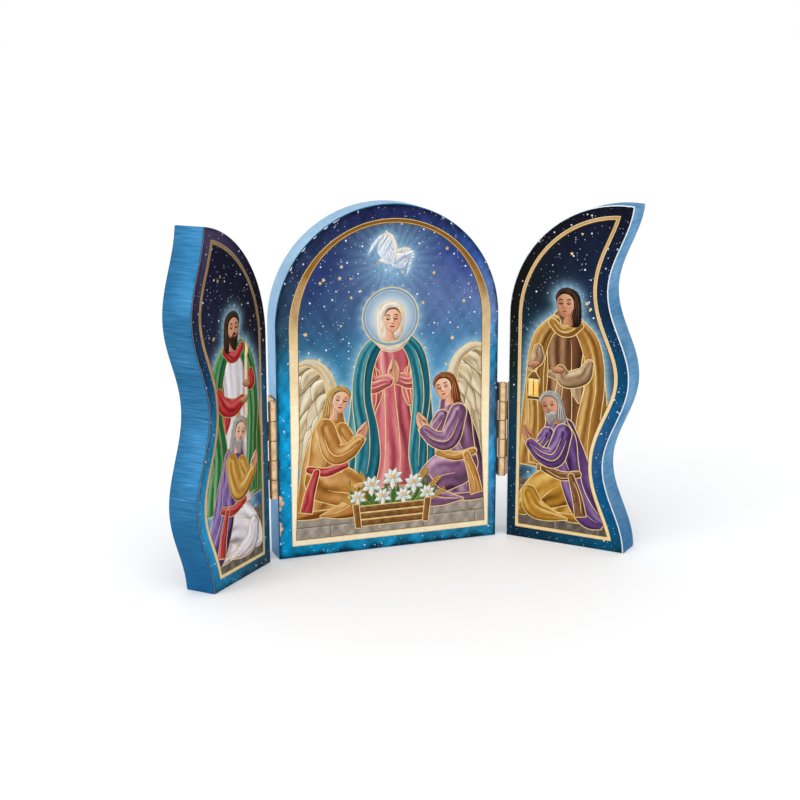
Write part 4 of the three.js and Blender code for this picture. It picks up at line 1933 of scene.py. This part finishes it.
@dataclass
class ArchedPicture(Picture):
    """The centre board's design. Its gold line is broad at the sides and narrow at foot and top."""

    middle: float = 0.8
    half_width: float = 36.0
    line_at_sides: float = 3.0
    line_at_foot: float = 1.3
    line_at_top: float = 1.5
    springing: float = 79.0
    arch_points: int = 120
    side_points: int = 80
    foot_points: int = 60
    # Cream at the sides and bronze at the top of the arch: a painted reflection on the foil.
    gold_tones: str = "fff0cc fff2d2 fff0cc e8cfa0 96692c 7d551f"

    def arch(self, foot: float, side: float, top: float, bottom: float) -> Array:
        """Trace an arched loop inside the gold line's outer edge.

        Args:
            foot: How far it is set in at the bottom of its sides.
            side: How far it is set in at the top of its sides.
            top: How far it is set in at the top of the arch.
            bottom: How high it starts.

        Returns:
            The loop, in sheet millimetres.
        """
        angle = np.linspace(0, math.pi, self.arch_points)
        radius = self.half_width - top - (side - top) * np.cos(angle) ** 4
        arch = polar(angle, radius, 0.0, self.springing)
        share = np.linspace(0, 1, self.side_points)[:-1]
        half = self.half_width - foot + (foot - side) * np.minimum(2 * share, 1)
        upright = np.stack([half, bottom + (self.springing - bottom) * share], 1)
        reach = self.half_width - foot
        across = np.linspace(-reach, reach, self.foot_points)[1:-1]
        base = np.stack([across, np.full_like(across, bottom)], 1)
        return np.concatenate([base, upright, arch, upright[::-1] * (-1, 1)]) + (self.middle, 0.0)

    def band(self) -> tuple[Array, Array]:
        """Give the outer and inner loops of the gold line."""
        inner = self.arch(self.line_at_foot, self.line_at_sides, self.line_at_top, self.bottom + 2.0)
        return self.arch(0.0, 0.0, 0.0, self.bottom), inner


@dataclass
class Sheet:
    """One printed sheet: its painted forms cut into a dense flat mesh, glued to its board."""

    picture: Picture
    material: Material
    grain: float = 0.95
    weld: float = 0.002
    thickness: float = 0.12
    ink_strength: float = 0.92
    ink_contrast: float = 1.16

    def build(self) -> Object:
        """Cut, paint and place the sheet.

        Returns:
            The sheet, with the attributes "place", "tint" and "marks".
        """
        picture, rim = self.picture, self.picture.rim()
        forms = picture.forms()
        points, triangles = self.cut(rim, forms)
        owner = self.owners(points[triangles].mean(1), forms)
        tint = np.zeros((len(triangles), 3, 4), np.float32)
        marks = np.zeros((len(triangles), 3, 4), np.float32)
        for number in np.unique(owner):
            mine = np.flatnonzero(owner == number)
            used, back = np.unique(triangles[mine], return_inverse=True)
            colours = np.clip(forms[number].shade(points[used]), 0, 1)
            if forms[number].marks != FOIL:
                colours = self.ink_strength * colours ** self.ink_contrast
            tint[mine, :, :3] = colours[back.reshape(-1)].reshape(-1, 3, 3)
            marks[mine, :, :3] = forms[number].marks
        mesh = self.solid(points, triangles, tint, marks)
        mesh.transform(picture.triptych.to_row(picture.side))
        mesh.update()
        return link(mesh, mesh.name)

    def cut(self, rim: Array, forms: list[Form]) -> tuple[Array, Array]:
        """Cut the sheet along every form's outline.

        Args:
            rim: The sheet's own outline.
            forms: The painted forms.

        Returns:
            Points as rows of x and z, and triangles that run counter-clockwise.
        """
        loops = [rim] + [loop for form in forms for loop in form.loops]
        scatter = [self.lattice(rim, [rim], self.grain)]
        scatter += [self.lattice(form.loops[0], form.loops, form.grain) for form in forms if form.grain]
        loose = np.unique(np.round(np.concatenate(scatter), 4), axis=0)
        edges, start = [], 0
        for loop in loops:
            ring = np.arange(start, start + len(loop))
            edges += list(zip(ring.tolist(), np.roll(ring, -1).tolist()))
            start += len(loop)
        points = np.concatenate(loops + [loose])
        cut = delaunay_2d_cdt([Vector(p) for p in points.tolist()], edges, [], 0, self.weld)
        points = np.array([tuple(v) for v in cut[0]])
        triangles = np.array(cut[2])
        first, second, third = points[triangles].transpose(1, 0, 2)
        (ax, az), (bx, bz) = (second - first).T, (third - first).T
        area = ax * bz - az * bx
        triangles[area < 0] = triangles[area < 0][:, ::-1]
        return points, triangles[inside(points[triangles].mean(1), [rim])]

    @staticmethod
    def lattice(loop: Array, loops: list[Array], step: float) -> Array:
        """Give the points of an even triangular lattice that lie inside some loops."""
        low, high = np.floor(loop.min(0) / step) - 1, np.ceil(loop.max(0) / step) + 1
        x, z = np.meshgrid(np.arange(low[0], high[0] + 1), np.arange(low[1], high[1] + 1))
        grid = np.stack([(x + 0.5 * (z % 2)).ravel() * step, z.ravel() * step * 0.98], 1)
        return grid[inside(grid, loops)]

    @staticmethod
    def owners(middles: Array, forms: list[Form]) -> Array:
        """Give the number of the topmost form at each place.

        Args:
            middles: Rows of x and z.
            forms: The painted forms.

        Returns:
            A form's number for each place.
        """
        owner = np.zeros(len(middles), int)
        for number, form in enumerate(forms):
            low = np.min([loop.min(0) for loop in form.loops], axis=0)
            high = np.max([loop.max(0) for loop in form.loops], axis=0)
            near = np.flatnonzero(((middles >= low) & (middles <= high)).all(1))
            owner[near[inside(middles[near], form.loops)]] = number
        return owner

    def solid(self, points: Array, triangles: Array, tint: Array,
              marks: Array) -> Mesh:
        """Give the flat cut its thickness, as one closed mesh in the sheet frame.

        Args:
            points: The cut's points.
            triangles: Its triangles.
            tint: The colour at each corner.
            marks: Foil, night and wear at each corner.

        Returns:
            The mesh.
        """
        name = f"{self.picture.side.label}_printed_sheet"
        used, triangles = np.unique(triangles, return_inverse=True)
        points, triangles = points[used], triangles.reshape(-1, 3)
        sides = np.concatenate([triangles[:, (0, 1)], triangles[:, (1, 2)], triangles[:, (2, 0)]])
        keys = {tuple(edge) for edge in sides.tolist()}
        rim = {a: b for a, b in keys if (b, a) not in keys}
        ring = [next(iter(rim))]
        while rim[ring[-1]] != ring[0]:
            ring.append(rim[ring[-1]])
        front = self.picture.triptych.board_front(self.picture.side) - self.thickness
        back_start = len(points)
        top = np.stack([points[:, 0], np.full(len(points), front), points[:, 1]], 1)
        low = top[ring] + (0.0, self.thickness, 0.0)
        ahead = np.roll(np.arange(len(ring)), -1)
        walls = [(ring[b], ring[a], back_start + a, back_start + b) for a, b in enumerate(ahead.tolist())]
        base = [tuple(range(back_start + len(ring) - 1, back_start - 1, -1))]
        mesh = bpy.data.meshes.new(name)
        verts = np.concatenate([top, low]) * MM
        mesh.from_pydata(verts.tolist(), [], triangles.tolist() + walls + base)
        mesh.materials.append(self.material)
        store(mesh, "place", "FLOAT_VECTOR", "POINT", verts)
        extra = len(mesh.loops) - 3 * len(triangles)
        paper = np.tile(np.float32(rgba(self.picture.cut_edge)), (extra, 1))
        for label, values, rest in (("tint", tint, paper), ("marks", marks, np.zeros_like(paper))):
            store(mesh, label, "FLOAT_COLOR", "CORNER", np.concatenate([values.reshape(-1, 4), rest]))
        return mesh


# ---- designs


def silk(tones: str, folds: float, seed: float, *gold_folds: float) -> Cloth:
    """Give a cloth with gold lines along some of its folds.

    Args:
        tones: Its tones, from dark to light.
        folds: How many folds it has.
        seed: Shifts its folds.
        gold_folds: How far across each gold line runs, from -1 to 1.

    Returns:
        The cloth.
    """
    return Cloth(tones, folds, seed=seed, gold_folds=gold_folds)


def paint_center(brush: Brush) -> None:
    """Paint the centre: a praying figure between two kneeling angels, lilies in front, a dove above.

    Args:
        brush: A brush in sheet millimetres.
    """
    rose = silk("7d2f3a c96a74 f3c0bd", 3.4, 1.0, -0.45, 0.2)
    teal = silk("0d3a4a 1f7384 7fc4c9", 2.6, 2.2, 0.1)
    veil = Cloth("a08f86 e8ddd2 ffffff", folds=2.0, depth=0.12)
    green = silk("3d4a22 7d8a48 cfd29a", 3.0, 3.1, 0.25)
    ochre = silk("7a4a1c c08a48 f2d39c", 2.2, 0.7, -0.2)
    mauve = silk("4a2f4a 8c6484 d8b8cc", 3.0, 5.2, 0.2)
    plum = silk("55263c 9a5870 e0b0bc", 2.2, 4.4, -0.3)
    red = silk("7a1c22 b8404a ec9a94", 1.6, 1.5)
    paint_dove(brush.at(1.6, 101.5, scale=0.95, tilt=12))
    veiled = Head(Hair.BROWN, turn=0.15, veil=veil, halo=True)
    praying = StandingFigure(Dress(rose, teal, rose, rose), veiled, veil)
    praying.paint(brush.at(0.8, 20.5, scale=1.02))
    left = KneelingFigure(Dress(ochre, green, ochre, red), Head(Hair.FAIR, turn=0.7), Feathers())
    left.paint(brush.at(-20.5, 13.5, scale=0.98))
    right = KneelingFigure(Dress(mauve, plum, mauve, ochre), Head(Hair.AUBURN, turn=0.7), Feathers())
    right.paint(brush.at(22.5, 14.5, scale=1.0, mirror=True))
    paint_planter(brush.at(0.8, 8.4))


def paint_chips(sheet: Brush, rim: Array) -> None:
    """Tear chips out of the centre's print down its left edge, and nick the paint round the arch.

    Args:
        sheet: A brush in sheet millimetres.
        rim: The sheet's own outline.
    """
    fibre = Cloth("8a6a55 dcbfa6 f6e6d6", folds=3.0, depth=0.35,
                  outline="5a4638 7d6654 9a8270", outline_width=0.14)
    left = rim[:, 0].min() - 0.4
    torn = ((0.0, 0.0), (0.5, 0.1), (0.4, 0.3), (1.0, 0.5), (0.6, 0.72), (0.75, 0.9), (0.0, 1.0))
    for height, tall, wide in ((17.2, 5.2, 2.0), (8.2, 5.0, 1.4), (14.6, 1.2, 0.6)):
        corners = [(left + (0.4 + wide * x if x else 0.0), height + tall * z) for x, z in torn]
        sheet.patch(corners, fibre, soft=0.4)
        sheet.forms[-2].marks = WORN
    bare = Cloth("9fb0bc dfe6ea ffffff", folds=3.0, depth=0.2, outline_width=0)
    arch_middle, edge_radius = (0.0, 80.0), 39.55
    for angle, long in ((118, 1.3), (124, 0.9), (131, 0.7), (139, 1.0), (150, 0.8), (61, 0.6)):
        outwards = heading(angle)
        along = long * np.array([-outwards[1], outwards[0]])
        middle = arch_middle + edge_radius * outwards
        sheet.ribbon([(*(middle - along), 0.05), (*middle, 0.3), (*(middle + along), 0.05)], bare)


def paint_left_wing(brush: Brush) -> None:
    """Paint the left wing: an attendant with a candle, and one in a purple cloak kneeling in front.

    Args:
        brush: A brush in sheet millimetres.
    """
    white = silk("9a8f9a e4dfe4 ffffff", 3.4, 1.1, 0.3)
    green = silk("0f3f26 2f7d4c 96cfa0", 2.6, 2.0, 0.1)
    red = silk("6e1418 b83038 f09488", 2.2, 4.0)
    purple = silk("2d1c48 6b4f94 bda8d8", 3.0, 3.0, -0.3, 0.35)
    gold = silk("7a5418 c99a48 f7dfa0", 2.4, 0.4)
    holding = TwoHands(paint_candle, red, WARM_SKIN)
    head = Head(Hair.DARK, turn=0.6, skin=WARM_SKIN, beard=True)
    standing = StandingFigure(Dress(white, green, red, gold), head, red, held=holding)
    standing.paint(brush.at(-20.0, 24, scale=1.02))
    head = Head(Hair.GREY, turn=0.7, beard=True)
    kneeling = KneelingFigure(Dress(white, purple, gold, red), head, cloaked=True)
    kneeling.paint(brush.at(-20.0, 8.5))


def paint_right_wing(brush: Brush) -> None:
    """Paint the right wing: an attendant with a lantern, and one in gold and violet kneeling in front.

    Args:
        brush: A brush in sheet millimetres.
    """
    brown = silk("2f1c12 7a5238 c9a27c", 3.2, 2.6, 0.3)
    ochre = silk("5a3a14 a87a3a e8c888", 2.4, 1.9, 0.0)
    tan = silk("5e4632 a88a6a e2ccae", 2.0, 0.3)
    violet = silk("2c1a3e 6a4a80 b79ac8", 2.8, 4.7, -0.2, 0.4)
    gold = silk("6e4a14 b98a34 f0d488", 3.0, 1.2, 0.2)
    holding = TwoHands(paint_lantern, tan, WARM_SKIN, far=(10.6, 38.2), near=(3.4, 37.0))
    head = Head(Hair.DARK, turn=0.6, skin=WARM_SKIN)
    standing = StandingFigure(Dress(brown, ochre, tan, tan), head, ochre, held=holding)
    standing.paint(brush.at(21.0, 24, scale=1.04, mirror=True))
    head = Head(Hair.GREY, turn=0.7, skin=WARM_SKIN, beard=True)
    kneeling = KneelingFigure(Dress(gold, violet, violet, brown), head, cloaked=True)
    kneeling.paint(brush.at(18.5, 9.0, scale=0.98, mirror=True))


DOVE_MIDDLE, DOVE_LIGHT_REACH = (1.2, 101.0), 10.5


def dove_light(points: Array) -> Array:
    """Give the light that falls in soft rays from the dove."""
    x, z = (points - DOVE_MIDDLE).T
    reach, angle = np.hypot(x, z), np.arctan2(z, x)
    rays = 0.62 + 0.38 * np.cos(14 * angle) ** 2
    return np.clip(np.exp(-(reach / DOVE_LIGHT_REACH) ** 1.5) * rays, 0, 0.95)


def pictures(triptych: Triptych) -> list[Picture]:
    """Set out the three designs.

    Args:
        triptych: The driving sizes.

    Returns:
        The centre's, the left wing's and the right wing's.
    """
    half = triptych.radius
    stone = "6a625c a59c90 d9d1c2"
    dark_stone = "3a3634 6e665e a2998a"
    center = ArchedPicture(
        triptych, Side.CENTER,
        Sky({20: "6fa3bc", 40: "4a94bb", 66: "3f83a4", 80: "3c5f84", 98: "2c3c74", 114: "1d2c50"},
            {20: "7fa9be", 50: "5c9fc4", 72: "5a8cb4", 88: "6c80b0", 102: "3a4a92", 114: "26346e"},
            (-half, half)),
        Sky({3: "0698c6", 50: "0aa8dc", 66: "2a8db2", 78: "375a72", 98: "374668", 116: "222c50"},
            {3: "2a8cae", 14: "4188b4", 28: "42b0e8", 40: "4789b4", 50: "4f7496", 66: "3899c7",
             84: "7f9ccc", 100: "3f66a8", 116: "333c72"},
            (-half, half), cloud=0.26),
        stone, 24.0, paint_center, bottom=4.2, star_count=64, seed=11, light=dove_light, rub=1.25,
        ragged=0.11, cut_edge="2b3f52")
    left = Picture(
        triptych, Side.LEFT,
        Sky({20: "2c7fb0", 60: "2a5f8c", 80: "2a3450", 110: "221e36"},
            {20: "235f84", 60: "1f3f5c", 80: "221e2b", 110: "1a1828"}, (-half, 0.0)),
        Sky({3: "0591bf", 22: "239aca", 55: "3384aa", 70: "124f76", 90: "2e3048", 116: "5c5070"},
            {3: "194e62", 20: "126382", 45: "2c6285", 62: "1c5679", 78: "221e2b", 116: "1d1830"},
            (-half, 0.0)),
        dark_stone, 22.0, paint_left_wing, seed=21, cut_edge="a8917a")
    right = Picture(
        triptych, Side.RIGHT,
        Sky({20: "1b465a", 50: "284e63", 70: "0e3748", 90: "192026", 116: "14121e"},
            {20: "1f5378", 50: "2a5a7c", 70: "16445e", 90: "1e3657", 116: "181a30"}, (0.0, half)),
        Sky({3: "13394d", 30: "11415e", 45: "1b465a", 62: "1a2e2a", 80: "1a1716", 116: "15141f"},
            {3: "025b79", 22: "046191", 34: "356b98", 56: "055a80", 84: "143657", 116: "171a30"},
            (0.0, half)),
        # The right sheet's near-white cut edge, with its board's near-white front rim, is a painted highlight
        # along the front edge.
        dark_stone, 22.0, paint_right_wing, seed=31, cut_edge="e6edf4", rim_inset=0.28, rub=0.5)
    return [center, left, right]


# ---- studio


@dataclass(frozen=True)
class Studio:
    """Camera, floor and soft light."""

    camera_place: Triple = (-0.1701, -0.4932, 0.1773)
    camera_pitch: float = 76.457
    camera_turn: float = -19.618
    lens: float = 69.87
    sensor_width: float = 36.0
    clip_start: float = 0.01
    floor_size: float = 30.0
    world_strength: float = 0.78
    sun_energy: float = 1.3
    sun_spread: float = 70.0
    sun_tilt: tuple[float, float] = (32.0, -22.0)
    box_energy: float = 0.22
    box_size: tuple[float, float] = (0.12, 0.10)
    box_place: Triple = (-0.38, -0.13, 0.20)
    box_target: Triple = (-0.07, -0.03, 0.09)

    def build(self) -> None:
        """Set up the whole studio."""
        self.camera()
        self.floor()
        self.world()
        self.sun()
        self.soft_box()
        bpy.context.scene.view_settings.view_transform = "Standard"

    def camera(self) -> None:
        """Place the camera at the height and angle of someone looking down at a table."""
        data = bpy.data.cameras.new("camera")
        data.lens = self.lens
        data.sensor_width = self.sensor_width
        data.clip_start = self.clip_start
        camera = link(data, "camera")
        camera.location = self.camera_place
        camera.rotation_euler = (math.radians(self.camera_pitch), 0.0, math.radians(self.camera_turn))
        bpy.context.scene.camera = camera

    def floor(self) -> None:
        """Lay the floor."""
        mesh = bpy.data.meshes.new("floor")
        half = self.floor_size / 2
        corners = [(-half, -half, 0), (half, -half, 0), (half, half, 0), (-half, half, 0)]
        mesh.from_pydata(corners, [], [(0, 1, 2, 3)])
        mesh.materials.append(PaleFloor().build())
        link(mesh, "floor")

    def world(self) -> None:
        """Light everything evenly, with a white background."""
        world = bpy.data.worlds.new("studio")
        bpy.context.scene.world = world
        world.use_nodes = True
        world.node_tree.nodes.clear()
        graph = Graph(world.node_tree)
        seen = graph.node("ShaderNodeLightPath", output="Is Camera Ray")
        strength = self.world_strength + (1.0 - self.world_strength) * seen
        background = graph.node("ShaderNodeBackground", {
            "Color": (1.0, 1.0, 1.0, 1.0), "Strength": strength})
        graph.place("ShaderNodeOutputWorld", {"Surface": background})

    def sun(self) -> None:
        """Hang a broad sun for soft shadows."""
        light = bpy.data.lights.new("overhead_soft", "SUN")
        light.energy = self.sun_energy
        light.angle = math.radians(self.sun_spread)
        link(light, "overhead_soft").rotation_euler = (*map(math.radians, self.sun_tilt), 0.0)

    def soft_box(self) -> None:
        """Stand a soft box at the left."""
        light = bpy.data.lights.new("left_box", "AREA")
        light.shape = "RECTANGLE"
        light.size, light.size_y = self.box_size
        light.energy = self.box_energy
        lamp = link(light, "left_box")
        lamp.location = self.box_place
        lamp.rotation_euler = (Vector(self.box_target) - lamp.location).to_track_quat("-Z", "Y").to_euler()


# ---- main


def hand_over(piece: Object, node: str, body: str) -> None:
    """Hide the imported node that a finished piece stands for, attach the piece to the body that it moves
    with, and report its faces.
    """
    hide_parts(node)
    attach(piece, body)
    LOG.info("%s: %d faces", piece.name, len(piece.data.polygons))


def main() -> None:
    """Build every piece and report it."""
    triptych = Triptych()
    Studio().build()
    paint, brass = BrushedPaint().build(), SatinBrass().build()
    blank = Board.tree()
    for side in Side:
        board = Board(triptych, side, paint).build(blank)
        hand_over(board, f"{side.label}_board", side.body)
    hinge = HingeHalf.tree()
    for side in (Side.LEFT, Side.RIGHT):
        for moving, leaf, body in ((False, "panel", Side.CENTER.body), (True, "wing", side.body)):
            half = HingeHalf(triptych, side, moving, brass).build(hinge)
            hand_over(half, f"{side.label}_hinge_{leaf}_leaf", body)
    ink = GlossPrint().build()
    for picture in pictures(triptych):
        sheet = Sheet(picture, ink).build()
        hand_over(sheet, f"{picture.side.label}_print", picture.side.body)
    for name, node in frame["nodes"].items():
        if "hinge" in name:
            node.data.materials.clear()
            node.data.materials.append(brass)


if __name__ == "__main__":
    main()
